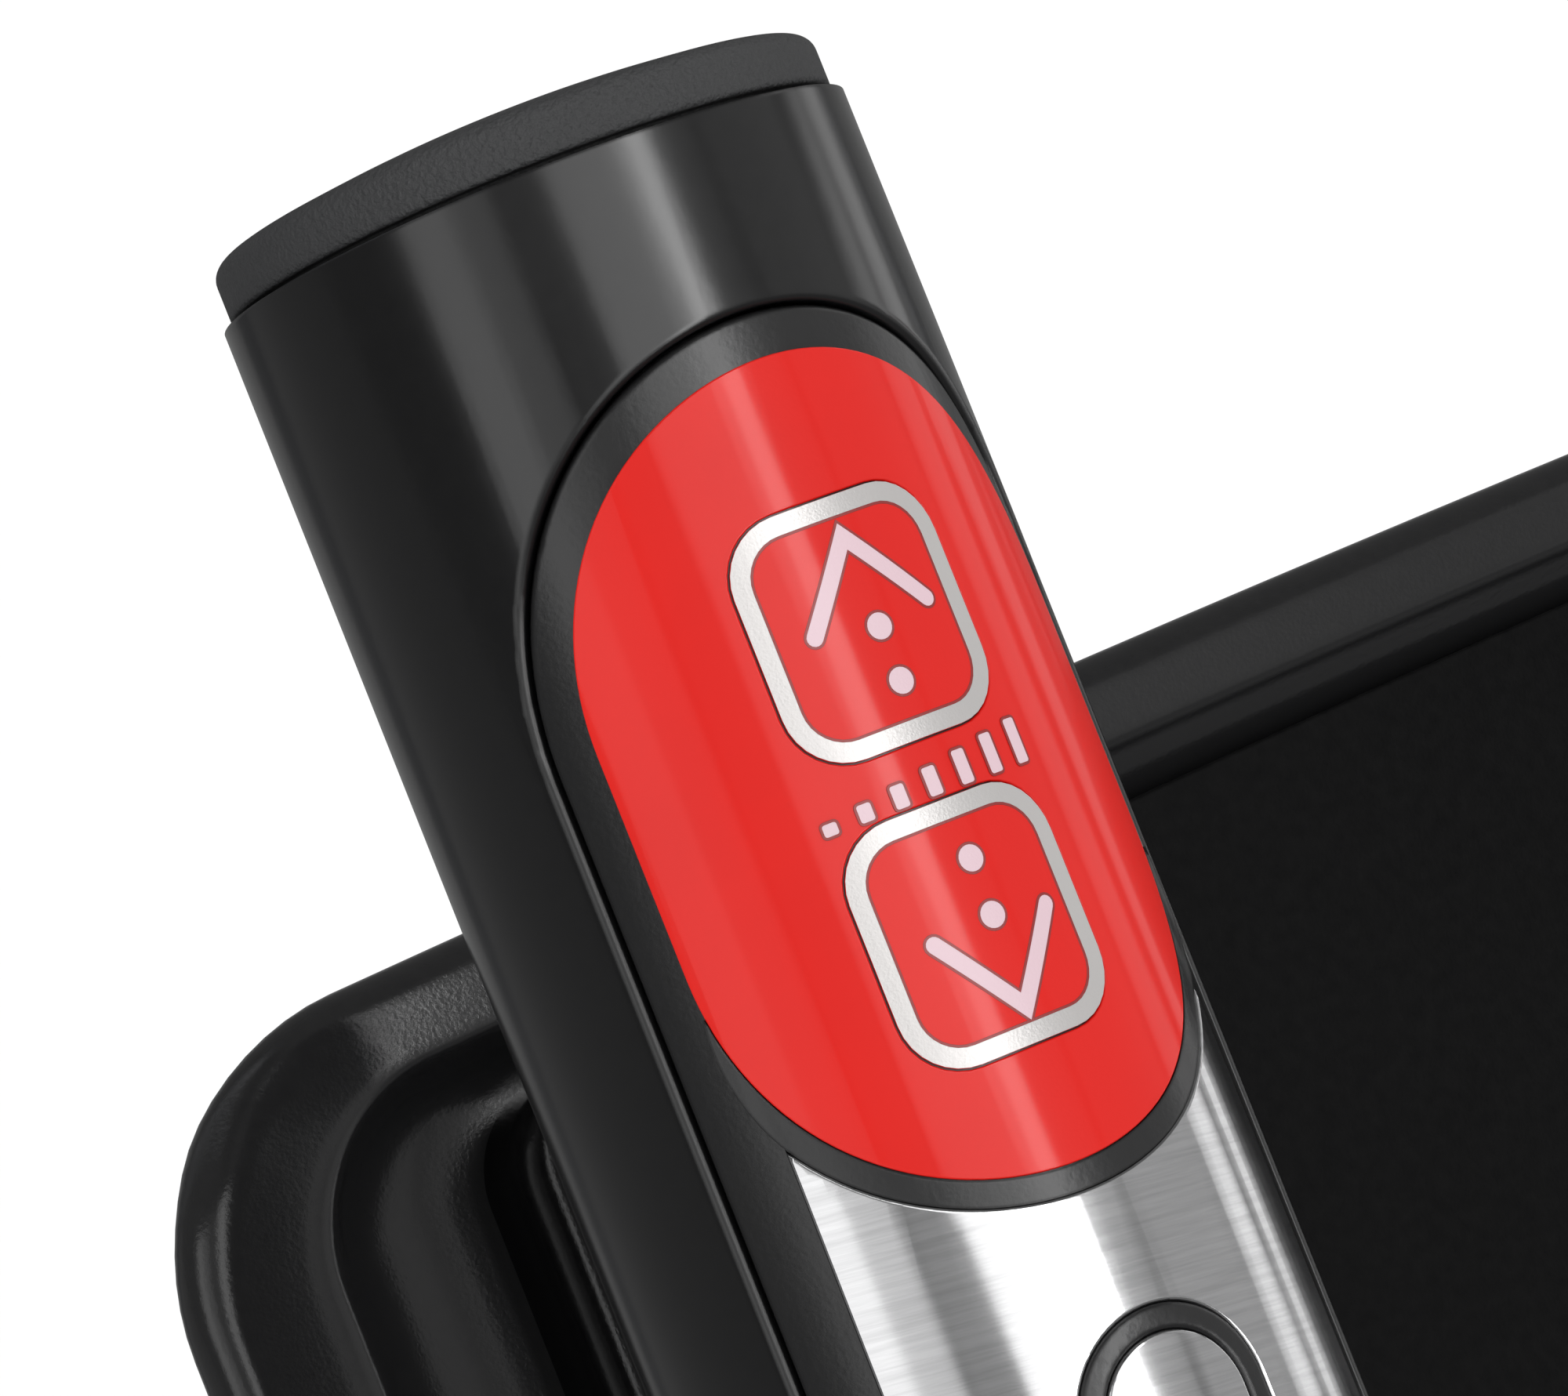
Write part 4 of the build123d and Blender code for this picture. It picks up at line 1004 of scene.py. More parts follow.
# %% Console directions
face_low, face_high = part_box("console_bezel")
CONSOLE_GAP = 65.0 * MM
CONSOLE_HALF = (face_high.x - face_low.x) / 2
CONSOLE_TOP, CONSOLE_LOW = -36.3 * MM, -240.9 * MM
CONSOLE_CROWN = 6.6 * MM
CONSOLE_CORNER = 17.9 * MM
CORNER_DROP, CORNER_DOWN = 0.92 * MM, 4.2 * MM
CORNER_IN, CORNER_WIDE, CORNER_TALL = 9.0 * MM, 8.5 * MM, 3.4 * MM


def corner_fall(x, along):
    """How far the face drops back near its corners, most of it just off the corner itself."""
    out = max(0.0, CONSOLE_HALF - abs(x) - CORNER_IN) / CORNER_WIDE
    down = (min(CONSOLE_TOP - along, along - CONSOLE_LOW) - CORNER_DOWN) / CORNER_TALL
    return CORNER_DROP * 2.72 ** -(out ** 2 + down ** 2)


def on_console(x, along, depth):
    """A point behind the console's face, from its place across and along."""
    spot = RIM - FACING * (CONSOLE_GAP + depth) + ALONG * along
    return Vector((x, spot.y, spot.z))


def console_ring(inset_side, inset_top, corner, depth, top_depth, steps=16, crown_steps=48):
    """One closed ring of points: a rounded panel with a crowned top and soft corners."""
    half = CONSOLE_HALF - inset_side
    top, low = CONSOLE_TOP - inset_top, CONSOLE_LOW + inset_top
    points = []
    for quarter, (sx, edge) in enumerate(((1, top), (-1, top), (-1, low), (1, low))):
        sy = 1 if edge == top else -1
        for k in range(steps + 1):
            turn = pi / 2 * (quarter + k / steps)
            points.append((sx * (half - corner) + corner * cos(turn),
                           edge - sy * corner + corner * sin(turn)))
        if sx == sy:
            reach = sx * (half - corner)
            points += [(reach * (1 - 2 * k / crown_steps), edge) for k in range(1, crown_steps)]
    ring = []
    for x, along in points:
        share = (along - low) / (top - low)
        lift = CONSOLE_CROWN * (1 - (x / half) ** 2) * max(0.0, share) ** 6
        inward = min(1.0, max(0.0, (CONSOLE_HALF - abs(x) - 30 * MM) / (45 * MM)))
        level = depth + (top_depth - depth) * inward ** 2 * (3 - 2 * inward)
        ring.append(on_console(x, along + lift, level + corner_fall(x, along)))
    return ring


def ringed(rings):
    """Closed skin through a list of rings, with both ends filled."""
    mesh = bmesh.new()
    loops = [[mesh.verts.new(p) for p in ring] for ring in rings]
    skin(mesh, loops)
    mesh.faces.new(loops[0])
    mesh.faces.new(loops[-1])
    bmesh.ops.recalc_face_normals(mesh, faces=mesh.faces)
    return mesh


print("console half width mm", round(CONSOLE_HALF / MM, 1))

# %% [markdown]
# A ring's place is given by how far it stands in from the nose at the side. At the top everything is
# closer together, so one function turns the side's inset into the top's. The channel is deep at the
# sides and shallow along the top and the bottom. The rim's corners fall away by nearly a
# millimetre, which is what gives a moulded corner its own soft highlight.

# %% Console rim and channel
NOSE = 2.8


def inset_top(side):
    """Inset at the top edge for an inset at the side, both in mm from the nose."""
    if side <= 3:
        return side * 1.15
    return 3.45 + (side - 3) * 0.35 if side <= 11 else 6.25 + (side - 11) * 0.234


def rim_ring(side, depth, top_depth=None, shrink=0.62):
    """One ring, from its inset and depth at the side and its depth along the top, all in mm."""
    top_depth = depth if top_depth is None else top_depth
    return console_ring(side * MM, inset_top(side) * MM, CONSOLE_CORNER - side * shrink * MM,
                        depth * MM, top_depth * MM)


rim_profile = [(7.4, 18.0)]
rim_profile += [(NOSE - NOSE * cos(radians(a)), NOSE - NOSE * sin(radians(a))) for a in range(-24, 91, 6)]
rim_profile += [(2.95, 0.0), (3.3, 0.0), (5.0, 0.0), (7.6, 0.0, 0.02), (9.2, 0.08, 0.12),
                (10.0, 0.3, 0.28), (10.6, 0.74, 0.48),
                (11.1, 1.4, 0.7), (11.7, 2.4, 0.92), (12.5, 3.6, 1.14), (13.3, 4.45, 1.34), (14.2, 5.1, 1.55),
                (15.4, 5.75, 1.82), (16.9, 6.3, 2.1), (18.6, 6.7, 2.36), (20.6, 7.0, 2.75), (23.0, 7.15, 3.1),
                (24.6, 7.2, 3.4), (26.0, 7.2, 3.7), (28.0, 7.2, 4.0), (28.0, 11.0), (10.5, 17.6)]
rim_rings = [rim_ring(*row) for row in rim_profile]
console_rim = finish_mesh("console_rim", ringed(rim_rings), finishes["console_satin"], 60.0)
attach(console_rim, "column")
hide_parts("console_bezel")
print("rim rings", len(rim_rings))

# %% [markdown]
# The panel is a second skin of rings inside the channel. Its edge is a soft ridge with a slight dip
# behind it, and then it is flat. It uses the same ring helper, so the two stay in step.

# %% Console panel
PANEL_SIDE = (CONSOLE_HALF - 179.0 * MM) / MM
panel_profile = [(0.0, 7.6, 7.6), (0.0, 3.2, 1.9), (0.12, 2.2, 1.6), (0.55, 1.35, 1.44), (1.2, 0.82, 1.4),
                 (2.0, 0.62, 1.4), (2.9, 0.66, 1.4), (3.9, 0.86, 1.4), (5.2, 1.12, 1.4), (6.8, 1.3, 1.4),
                 (9.0, 1.4, 1.4)]
panel_rings = [rim_ring(PANEL_SIDE + side, depth, top, 0.46) for side, depth, top in panel_profile]
console_panel = finish_mesh("console_panel_face", ringed(panel_rings), finishes["console_glass"], 60.0)
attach(console_panel, "column")
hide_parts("console_panel")
print("panel rings", len(panel_rings))

# %% [markdown]
# The display is a smooth window let into the panel. It shows nothing, since a library part has no
# one language. Its frame is a thin raised line, so that it is found by touch.

# %% Display window
def on_panel(a, b, up):
    """Place on the panel's flat: across, along from the middle, and out from it."""
    return on_console(a, -138.0 * MM + b, 1.4 * MM - up)


DISPLAY_W, DISPLAY_H = 92 * MM, 52 * MM
display = bmesh.new()
add_prism(display, rounded_box(DISPLAY_W, DISPLAY_H, (0, 0), 5 * MM), on_panel, 0.25 * MM, 0.2 * MM)
made_of("display_window", display, "display_glass", "column")
line_outer = rounded_box(DISPLAY_W + 3 * MM, DISPLAY_H + 3 * MM, (0, 0), 7 * MM)
line_inner = rounded_box(DISPLAY_W + 1.4 * MM, DISPLAY_H + 1.4 * MM, (0, 0), 6 * MM)
edge_line = thickened(filled(line_outer, [line_inner]), 0.5 * MM, 0.2 * MM)
for v in edge_line.verts:
    v.co = on_panel(*v.co)
made_of("display_edge", edge_line, "console_satin", "column")
print("display mm", round(2 * DISPLAY_W / MM), round(2 * DISPLAY_H / MM))

# %% [markdown]
# ## Foam sleeves
# The hand bars carry pushed-on foam tubes. Foam has no hard edge anywhere: its ends are rounded and
# its wall swells and dips a little where hands have worked it. The tube is turned like the cap, and
# then its surface is moved in and out by a few slow waves, which shows in the outline as well.

# %% Hand bar sleeves
HAND_TILT = radians(8)
SLEEVE_R, SLEEVE_LONG, SLEEVE_SIDES = 19.0 * MM, 164.0 * MM, 72
bar_way = Vector((0, -cos(HAND_TILT), sin(HAND_TILT)))
sleeve_end = [(r * MM, u * MM) for r, u in ((14.1, 1.4), (15.2, 0.35), (16.8, 0.3), (18.0, 0.9), (18.8, 2.4))]
sleeve_wall = [(SLEEVE_R, (4.5 + 155.0 * k / 72) * MM) for k in range(73)]
sleeve_outline = sleeve_end + sleeve_wall + [(r, SLEEVE_LONG - u) for r, u in reversed(sleeve_end)]


def sleeve_wave(turn, up):
    """How far the foam stands in from a true cylinder at one place."""
    slow = sin(3 * turn + 40 * up) + 0.7 * sin(2 * turn - 95 * up + 1.3) + 0.5 * sin(160 * up + 0.4)
    return (0.22 + 0.1 * slow) * MM


for side in ("left", "right"):
    low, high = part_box(f"{side}_hand_sleeve")
    place = frame_at((low + high) / 2 - bar_way * SLEEVE_LONG / 2, bar_way)
    foam = bmesh.new()
    rings = []
    for radius, up in sleeve_outline:
        ring = []
        for k in range(SLEEVE_SIDES):
            turn = 2 * pi * k / SLEEVE_SIDES
            reach = radius - (sleeve_wave(turn, up) if radius > 18 * MM else 0)
            ring.append(foam.verts.new(place(reach * cos(turn), reach * sin(turn), up)))
        rings.append(ring)
    skin(foam, rings + rings[:1])
    bmesh.ops.recalc_face_normals(foam, faces=foam.faces)
    sleeve = finish_mesh(f"{side}_foam_sleeve", foam, finishes["sleeve_foam"], 80.0, weighted=False)
    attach(sleeve, f"{side}_post")
    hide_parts(f"{side}_hand_sleeve")
print("sleeve length mm", round(SLEEVE_LONG / MM))

# %% [markdown]
# ## Pedal treads
# Each pedal has a moulded rubber tread. It is a thin mat with rows of chevron ribs, so a shoe can't
# slide forwards or sideways, and its edge is a raised border. The ribs are real, since they show
# against the light from low down, and they are one mesh with the mat, as they are one moulding.

# %% Treads
PEDAL_BORDER, TREAD_Y, MAT_T, RIB_ROWS = 16 * MM, -157.5 * MM, 1.6 * MM, 17
for side in ("left", "right"):
    low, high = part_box(f"{side}_pedal")
    top = high.z - PEDAL_BORDER
    mid_x = (low.x + high.x) / 2
    flat = frame_at(Vector((mid_x, TREAD_Y, top)), Z, X)
    upper = frame_at(Vector((mid_x, TREAD_Y, top + MAT_T)), Z, X)
    mat = bmesh.new()
    add_prism(mat, rounded_box(55 * MM, 167 * MM, (0, 0), 14 * MM), flat, MAT_T, 0.5 * MM)
    for row in range(RIB_ROWS):
        b = (-150 + 18.4 * row) * MM
        for lean in (-1, 1):
            near, far = 4 * MM * lean, 46 * MM * lean
            shape = [(near, b), (far, b - 9 * MM), (far, b - 4.5 * MM), (near, b + 4.5 * MM)]
            add_prism(mat, shape, upper, 2.2 * MM, 0.8 * MM)
    for edge in (-51 * MM, 51 * MM):
        add_prism(mat, rounded_box(1.8 * MM, 160 * MM, (edge, 0), 1.7 * MM), upper, 2.0 * MM, 0.7 * MM)
    made_of(f"{side}_tread_mat", mat, "foot_rubber", f"{side}_arm")
print("tread ribs", RIB_ROWS * 2)

# %% [markdown]
# ## Welds
# The frame is welded tube, and a weld is the first thing that tells so. Each bead is a short swept
# rope whose radius ripples, as a hand weld's does. Beads follow the corners where tubes meet, half
# sunk into both. Painted over, they share the frame's finish.

# %% Weld beads
def add_bead(mesh, points, radius=3.2 * MM, pitch=3.0 * MM):
    """Sweeps a rippled bead along a line of points."""
    for start, end in zip(points, points[1:]):
        way = (end - start).normalized()
        length = (end - start).length
        place = frame_at(start, way)
        steps = max(6, int(length / pitch * 4))
        outline = [(0, -radius * 0.5)]
        for k in range(steps + 1):
            ripple = radius * (0.86 + 0.14 * abs(sin(pi * k / 4)))
            outline.append((ripple * (0.6 if k in (0, steps) else 1.0), length * k / steps))
        outline.append((0, length + radius * 0.5))
        turned(outline, 10, place, mesh)


def corners(axis, at, low_a, high_a, low_b, high_b, inset=4):
    """The four sides of a rectangle across the x or y axis, as bead paths from mm."""
    def point(a, b):
        return Vector((at, a, b) if axis == "x" else (a, at, b)) * MM
    return [[point(low_a + inset, low_b), point(high_a - inset, low_b)],
            [point(low_a + inset, high_b), point(high_a - inset, high_b)],
            [point(low_a, low_b + inset), point(low_a, high_b - inset)],
            [point(high_a, low_b + inset), point(high_a, high_b - inset)]]


def welded(name, body, paths, finish="frame_paint"):
    """One mesh with a bead along each path."""
    mesh = bmesh.new()
    for path in paths:
        add_bead(mesh, path)
    made_of(name, mesh, finish, body, 60.0)


print("bead helper ready")

# %% [markdown]
# The beads go where steel meets steel: the spine on the two cross tubes, the pivot's ears on the
# spine, the actuator's ears on the mast, both struts of each arm at both ends, and a ring where each
# hand bar meets its post. Places are in millimetres.

# %% Lay the beads
FRONT_SEAM, REAR_SEAM, SPINE_HALF, SPINE_TOP, SPINE_UNDER = -490, 553, 50, 62, 14
EAR_X, EAR_Z, EAR_HALF, MAST_BACK = 24, 560, 30, 45
ARM_X, STRUT_HALF, STRUT_RISE = 255, 15, 75
PLATE_SEAM, UPRIGHT_SEAM = 90, 235
GRIP_RISE, HAND_BAR_R, POST_HALF = 1120, 14.4, 16.7
base_paths = []
for seam in (FRONT_SEAM, REAR_SEAM):
    base_paths += corners("y", seam, -SPINE_HALF, SPINE_HALF, SPINE_UNDER, SPINE_TOP)
for x in (-42, 42):
    base_paths.append([Vector((x, y, SPINE_TOP)) * MM for y in (-50, 50)])
welded("base_welds", "base", base_paths)
ear_paths = [[Vector((x, MAST_BACK, EAR_Z + rise)) * MM for rise in (-EAR_HALF, EAR_HALF)]
             for x in (-EAR_X, EAR_X)]
welded("mast_welds", "column", ear_paths, "mast_paint")
for side, sign in (("left", -1), ("right", 1)):
    low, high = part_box(f"{side}_carriage")
    mid = (low.z + high.z) / 2 / MM
    paths = []
    for strut in (mid - STRUT_RISE, mid + STRUT_RISE):
        for seam in (PLATE_SEAM, UPRIGHT_SEAM):
            paths += corners("x", sign * seam, -STRUT_HALF, STRUT_HALF,
                             strut - STRUT_HALF, strut + STRUT_HALF)
    welded(f"{side}_arm_welds", f"{side}_arm", paths)
    centre = Vector((sign * ARM_X, -POST_HALF, mid + GRIP_RISE + 2.3))
    ring = [(centre + (X * cos(turn) + Z * sin(turn)) * HAND_BAR_R) * MM
            for turn in (2 * pi * k / 16 for k in range(17))]
    welded(f"{side}_post_welds", f"{side}_post", [ring], "post_chrome")
print("welds done")

# %% [markdown]
# ## Fasteners
# Bolted joints get their heads: domed screws with a round socket, each on a washer. One function
# makes a head about any axis. All the heads of one body are one mesh, because nobody will ever pick
# them up one at a time.

# %% Screw heads
def add_button_head(mesh, at, axis, radius, height):
    """Domed screw head with a socket, on a thin washer."""
    place = frame_at(at, axis)
    washer = 0.18 * height
    turned([(0, -0.5 * MM), (radius * 1.35, -0.5 * MM), (radius * 1.35, washer * 0.8),
            (radius * 1.3, washer), (0, washer)], 40, place, mesh)
    dome = [(0, washer), (radius, washer)]
    for a in (0, 15, 30, 45, 58):
        rise = 0.25 + 0.75 * sin(radians(a))
        dome.append((radius * cos(radians(a)), washer + (height - washer) * rise))
    lip_r, lip_up = dome[-1]
    dome += [(lip_r * 0.92, lip_up + 0.02 * height), (lip_r * 0.90, height * 0.45), (0, height * 0.40)]
    turned(dome, 40, place, mesh)


print("screw helper ready")

# %% [markdown]
# Screws are where two parts are really held: ten through each arm's plate into its carriage, two in
# each side of the console's bracket, and two in each rubber shoe at the ends of the cross tubes.

# %% Place the screws
for side, sign in (("left", -1), ("right", 1)):
    low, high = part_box(f"{side}_carriage")
    mid = (low.z + high.z) / 2
    heads = bmesh.new()
    for y in (-28, 28):
        for z in (-88, -40, 0, 40, 88):
            at = Vector((sign * PLATE_SEAM * MM, y * MM, mid + z * MM))
            add_button_head(heads, at, X * sign, 5.5 * MM, 4 * MM)
    made_of(f"{side}_arm_screws", heads, "shaft_steel", f"{side}_arm")
heads = bmesh.new()
for sign in (-1, 1):
    for z in (1232, 1258):
        add_button_head(heads, Vector((sign * 32, -62, z)) * MM, X * sign, 4.5 * MM, 3.2 * MM)
made_of("column_screws", heads, "shaft_steel", "column")
heads = bmesh.new()
for sign in (-1, 1):
    for y in (-520, 583):
        for aside in (-14.4, 14.4):
            at = Vector((sign * 286, y + aside, SPINE_TOP)) * MM
            add_button_head(heads, at, Z, 3.2 * MM, 2.4 * MM)
made_of("base_screws", heads, "shaft_steel", "base")
print("fasteners done")

# %% [markdown]
# ## Height setting of the hand posts
# Each post slides in its arm and a knob's screw drops into one of a row of holes. The holes are on
# the post's outer face, with a fine punched rim, and the arm's mouth has a plastic collar, so that
# the post doesn't rattle or scratch. The holes are not cut: each is a dark disc inside its rim,
# painted shade that stands for the dark inside of the tube.

# %% Post holes and collars
HOLES, HOLE_PITCH, FIRST_HOLE = 14, 32, 40


def in_mm(*pairs):
    """(radius, up) points given in millimetres."""
    return [(radius * MM, up * MM) for radius, up in pairs]


hole_rim = in_mm((4.9, -0.2), (6.1, -0.2), (6.1, 0.05), (5.6, 0.28), (5.1, 0.22), (4.9, -0.2))
hole_shade_disc = in_mm((0, -0.2), (5.0, -0.2), (5.0, 0.04), (0, 0.04))
for side, sign in (("left", -1), ("right", 1)):
    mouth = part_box(f"{side}_arm_frame")[1].z
    rims, holes = bmesh.new(), bmesh.new()
    for k in range(HOLES):
        at = Vector((sign * (ARM_X + POST_HALF) * MM, 0, mouth + (FIRST_HOLE + HOLE_PITCH * k) * MM))
        place = frame_at(at, X * sign)
        turned(hole_rim, 32, place, rims)
        # painted shade: a dark disc just proud of the post inside each rim, standing for the inside of the hole
        turned(hole_shade_disc, 32, place, holes)
    bmesh.ops.remove_doubles(rims, verts=rims.verts, dist=1e-6)
    made_of(f"{side}_post_hole_rims", rims, "post_chrome", f"{side}_post")
    made_of(f"{side}_post_hole_shade_discs", holes, "belt_rubber", f"{side}_post")
    bore = (POST_HALF + 0.4) * MM
    collar = filled(rounded_box(19.6 * MM, 19.6 * MM, (0, 0), 4 * MM),
                    [rounded_box(bore, bore, (0, 0), 3 * MM)])
    thickened(collar, 7 * MM, 1.6 * MM)
    for v in collar.verts:
        v.co += Vector((sign * ARM_X * MM, 0, mouth))
    made_of(f"{side}_arm_collar", collar, "knob_plastic", f"{side}_arm")
print("post holes", HOLES)

# %% [markdown]
# ## Knobs and wheels
# The clamp knob is made again with soft lobes and a cap that covers its screw, because its CAD has
# the sharp edges of a cut. The lobes come from a cosine: three humps in one turn, with round waists
# between them. The same shape is drawn at every height, a little smaller towards both faces.

# %% Knobs
KNOB_R, KNOB_T, KNOB_SIDES = 24.0 * MM, 20.0 * MM, 120
knob_rows = ((0.0, 0.30), (0.0, 0.86), (0.5, 0.93), (1.8, 0.985), (4, 1.0), (15, 1.0), (17, 0.985),
             (18.4, 0.94), (19.0, 0.88), (18.9, 0.80), (18.2, 0.66), (18.0, 0.60))
knob_stem = in_mm((0, -37), (4.2, -37), (4.9, -36), (4.9, 0.5), (0, 0.5))
knob_cap = in_mm((0, 17.6), (12.6, 17.6), (12.6, 18.9), (12.0, 19.4), (8, 19.75), (0, 19.95))


def lobed(turn, share):
    """Knob radius at an angle. share is 1 at its widest and less near its edges."""
    waist = max(0.0, cos(3 * turn)) ** 1.6
    return (KNOB_R - 4.2 * MM * (1 - waist)) * share


for side, sign in (("left", -1), ("right", 1)):
    low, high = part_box(f"{side}_clamp_knob")
    outer = low.x if sign < 0 else high.x
    place = frame_at(Vector((outer - sign * KNOB_T, 0, (low.z + high.z) / 2)), X * sign, Z)
    body = bmesh.new()
    loops = []
    for up, share in knob_rows:
        loop = []
        for turn in (2 * pi * k / KNOB_SIDES for k in range(KNOB_SIDES)):
            out = lobed(turn, share)
            loop.append(body.verts.new(place(out * cos(turn), out * sin(turn), up * MM)))
        loops.append(loop)
    skin(body, loops)
    body.faces.new(loops[0])
    body.faces.new(loops[-1])
    turned(knob_stem, 32, place, body)
    knob = made_of(f"{side}_lobed_knob", body, "knob_plastic", f"{side}_knob", 45.0)
    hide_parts(f"{side}_clamp_knob")
    made_of(f"{side}_knob_cap", turned(knob_cap, 64, place), "cap_texture", f"{side}_knob", 40.0)
print("knob radius mm", KNOB_R / MM)

# %% [markdown]
# The transport wheels are soft rubber on a hard hub. The hub shows as a low ring on each face, and it
# turns with its wheel.

# %% Wheel hubs
hub_ring = in_mm((4.4, -0.3), (10.5, -0.3), (10.5, 0.45), (9.6, 0.8), (5.2, 0.8), (4.4, 0.4), (4.4, -0.3))
for side in ("left", "right"):
    low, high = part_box(f"{side}_wheel")
    middle = (low + high) / 2
    hubs = bmesh.new()
    for x, way in ((low.x, -X), (high.x, X)):
        turned(hub_ring, 48, frame_at(Vector((x, middle.y, middle.z)), way), hubs)
    bmesh.ops.remove_doubles(hubs, verts=hubs.verts, dist=1e-6)
    made_of(f"{side}_wheel_hub", hubs, "knob_plastic", f"{side}_wheel_turn", 40.0)
print("hubs done")

# %% [markdown]
# ## Drive cover and console back
# The round cover has a ring of cooling slots round its middle, a raised ring and boss, and four
# screws. The slots are not cut: each is a dark, slightly raised bar, painted shade that stands for
# the dark inside of a real cut, which at this size would show nothing more.

# %% Cover slots and rings
SLOTS, SLOT_RADIUS, SCREW_RADIUS = 24, 78 * MM, 118 * MM
cover_middle = Vector((0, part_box("drive_cover")[1].y, 230 * MM))
slots, rings = bmesh.new(), bmesh.new()
for k in range(SLOTS):
    turn = 2 * pi * k / SLOTS
    out = X * cos(turn) + Z * sin(turn)
    spot = frame_at(cover_middle + out * SLOT_RADIUS, Y, out)
    # painted shade: each slot is a dark bar laid on the cover instead of a cut
    add_prism(slots, rounded_box(22 * MM, 2.6 * MM, (0, 0), 2.4 * MM, 4), spot, 0.12 * MM)
outer_ring = in_mm((104, -0.4), (109, -0.4), (109, 1.0), (107.8, 1.9), (105.2, 1.9), (104, 1.0), (104, -0.4))
boss = in_mm((0, -0.4), (40, -0.4), (40, 1.4), (38, 2.4), (30, 2.9), (0, 3.2))
turned(outer_ring, 128, frame_at(cover_middle, Y), rings)
turned(boss, 96, frame_at(cover_middle, Y), rings)
bmesh.ops.remove_doubles(rings, verts=rings.verts, dist=1e-6)
made_of("cover_slot_shade_bars", slots, "belt_rubber", "column")
made_of("cover_rings", rings, "cover_plastic", "column")
heads = bmesh.new()
for k in range(4):
    turn = pi / 4 + pi / 2 * k
    out = X * cos(turn) + Z * sin(turn)
    add_button_head(heads, cover_middle + out * SCREW_RADIUS - Y * 0.2 * MM, Y, 3.4 * MM, 2.4 * MM)
made_of("cover_screws", heads, "shaft_steel", "column")
print("cover dressed")

# %% [markdown]
# The console's back has a block of ribs that stiffen it and let warm air out, and a screw near each
# corner. They are placed with the console's own place function, like the rim and the panel.

# %% Console back ribs
ribs = bmesh.new()
BACK_DEPTH = 60.0 * MM
for k in range(9):
    along = (-95 - 11 * k) * MM
    spot = frame_at(on_console(0, along, BACK_DEPTH), -FACING, X)
    add_prism(ribs, rounded_box(96 * MM, 1.8 * MM, (0, 0), 1.7 * MM, 4), spot, 1.6 * MM, 0.6 * MM)
made_of("console_back_ribs", ribs, "console_satin", "column")
heads = bmesh.new()
for x in (-150, 150):
    for along in (-85, -200):
        at = on_console(x * MM, along * MM, BACK_DEPTH - 0.2 * MM)
        add_button_head(heads, at, -FACING, 3.6 * MM, 2.4 * MM)
made_of("console_back_screws", heads, "shaft_steel", "column")
print("console back dressed")

# %% [markdown]
# ## Floor and light
# The floor is plain pale paper that runs out of sight. In a reflection it is made much darker, so
# that the gloss black parts stay black.

# %% Floor
floor_mesh = bpy.data.meshes.new("floor")
FLOOR_HALF = 14.0
paper_corners = [(FLOOR_HALF * sx, FLOOR_HALF * sy, 0) for sx, sy in ((-1, -1), (1, -1), (1, 1), (-1, 1))]
floor_mesh.from_pydata(paper_corners, [], [(0, 1, 2, 3)])
floor = bpy.data.objects.new("floor", floor_mesh)
bpy.context.scene.collection.objects.link(floor)
paper = Finish("studio_floor", (0.94, 0.94, 0.94), 0.9, Specular_IOR_Level=0.0, Emission_Strength=0.05)
mirrored = paper.tree.nodes.new("ShaderNodeLightPath")
paper.shader.inputs["Emission Color"].default_value = (1, 1, 1, 1)
paper.tint(mirrored.outputs["Is Glossy Ray"], (0.2, 0.2, 0.2))
floor_mesh.materials.append(paper.done())
print("floor side m", 2 * FLOOR_HALF)

# %% [markdown]
# A white sky lights everything evenly and is the backdrop too. Reflections see it much dimmer, for
# the same reason as the floor. The Light Path node tells the two apart.

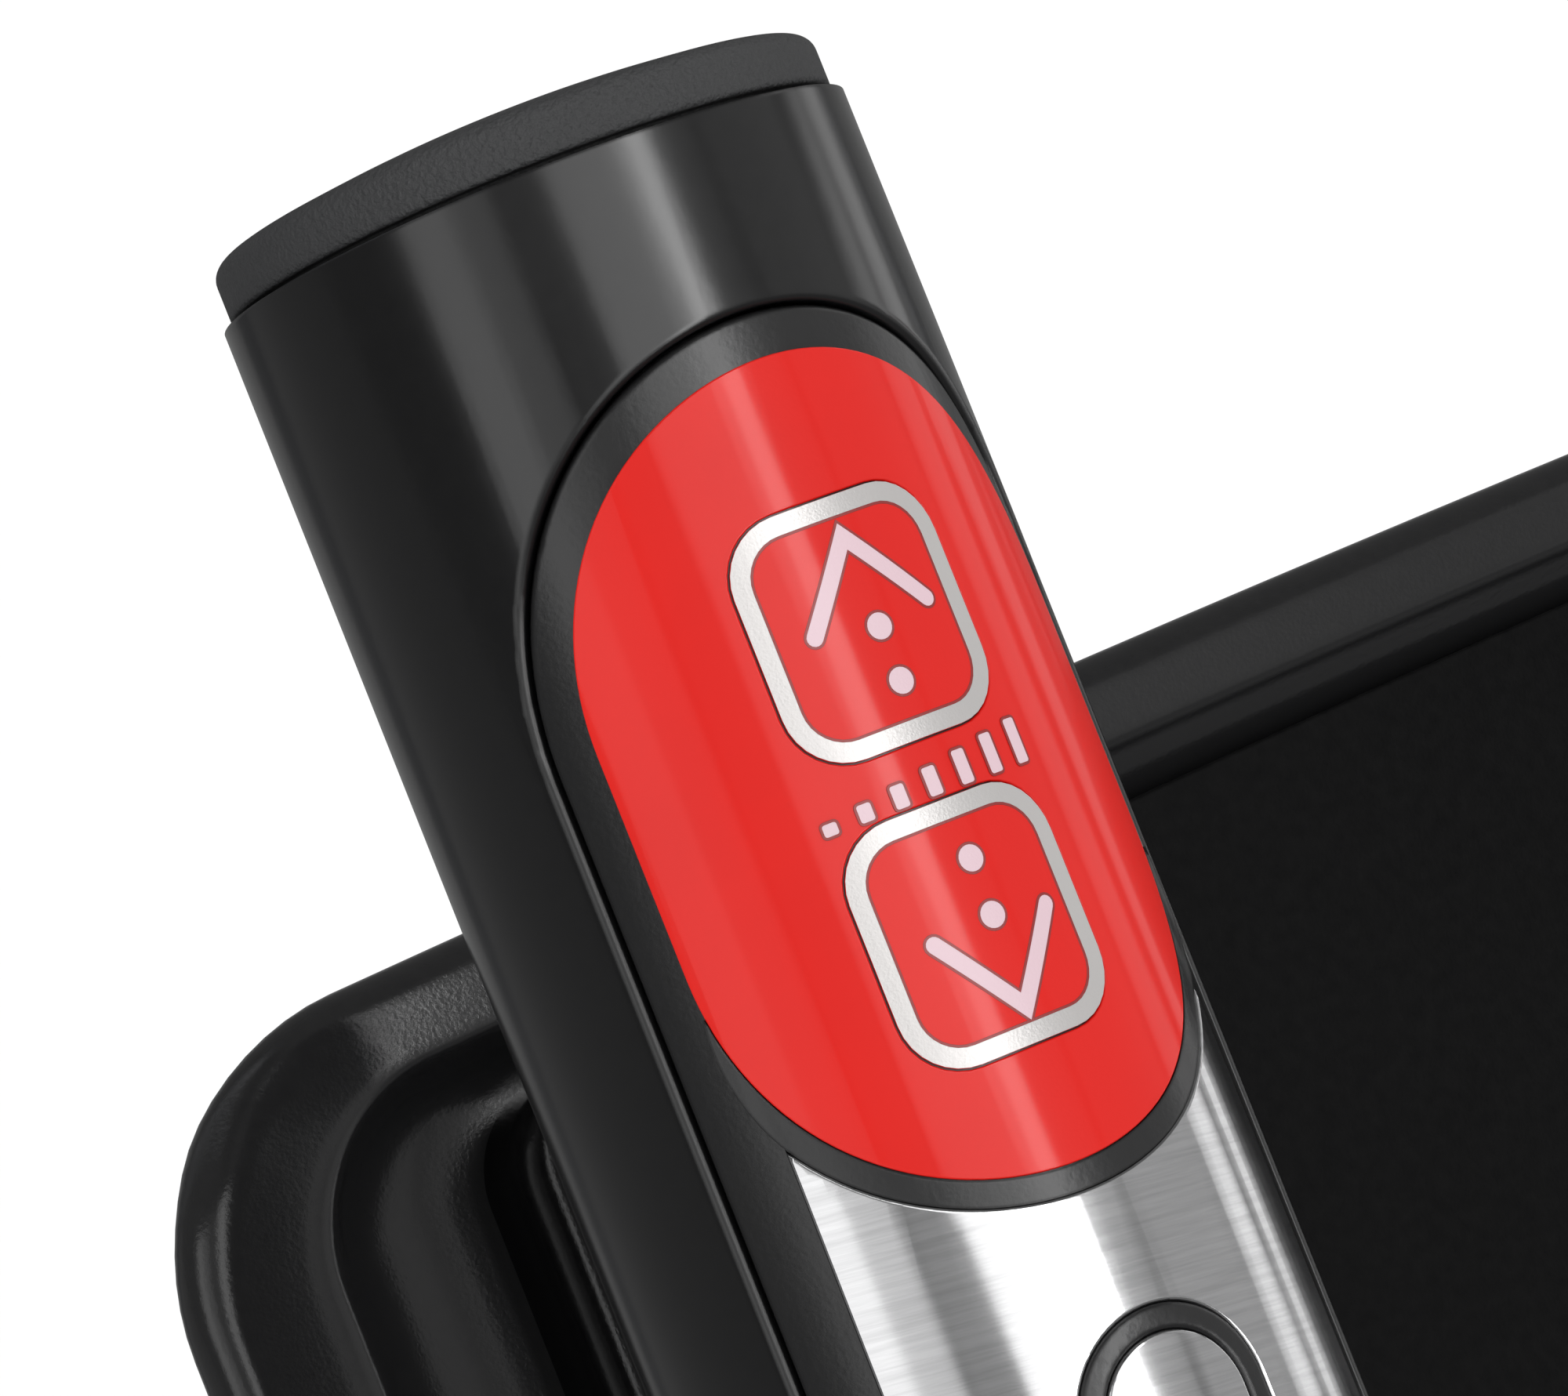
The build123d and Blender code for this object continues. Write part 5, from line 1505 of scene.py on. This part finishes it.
# %% Sky
SKY_LIGHT, SKY_IN_REFLECTIONS = 1.04, 0.17
world = bpy.data.worlds.new("studio")
bpy.context.scene.world = world
world.use_nodes = True
sky = world.node_tree
backdrop = sky.nodes["Background"]
seen = sky.nodes.new("ShaderNodeLightPath")
glow = sky.nodes.new("ShaderNodeMapRange")
glow.inputs["To Min"].default_value = SKY_LIGHT
glow.inputs["To Max"].default_value = SKY_IN_REFLECTIONS
sky.links.new(seen.outputs["Is Glossy Ray"], glow.inputs["Value"])
sky.links.new(glow.outputs[0], backdrop.inputs["Strength"])
backdrop.inputs["Color"].default_value = (1, 1, 1, 1)
bpy.context.scene.view_settings.view_transform = "Standard"
bpy.context.scene.view_settings.look = "None"
print("sky ready")

# %% [markdown]
# Long soft boxes stand round the grip. On a tube each one draws one straight band of light, and where
# a box stands decides where its band falls, so each is placed by two angles round the grip, in
# degrees from the way the pad faces. They show in reflections only. The brightest is narrow and has
# dimmer ones beside it, so that the main band fades at its edges.

# %% Soft boxes
BOX_AWAY, BOX_LONG = 5.0, 7.0


def soft_box(name, first, last, brightness):
    """A soft box parallel to the grip that spans two angles round it, seen in reflections only."""
    light = bpy.data.lights.new(name, "AREA")
    light.shape = "RECTANGLE"
    light.size = 2 * BOX_AWAY * sin(radians((last - first) / 2))
    light.size_y = BOX_LONG
    light.energy = brightness * pi * light.size * light.size_y
    box = bpy.data.objects.new(name, light)
    bpy.context.scene.collection.objects.link(box)
    middle = radians((first + last) / 2)
    way = FACING * cos(middle) + RIGHT * sin(middle)
    box.matrix_world = aim(RIM + way * BOX_AWAY, RIM, ALONG)
    box.visible_camera = box.visible_diffuse = False


boxes = {"left_box": (-73, -54, 1.75), "left_fill": (-54, -39, 0.95), "middle_fill": (-36, -22, 0.26),
         "key_box": (-20, 7, 2.2), "key_slope": (7, 11.5, 4.2), "key_core": (11.5, 18.8, 8.6),
         "key_skirt": (19.5, 36, 0.42), "right_fill": (38, 76, 0.42), "right_box": (78, 90, 1.4),
         "right_edge": (93, 104, 1.4)}
for name, (first, last, brightness) in boxes.items():
    soft_box(name, first, last, brightness)
print(len(boxes), "soft boxes")
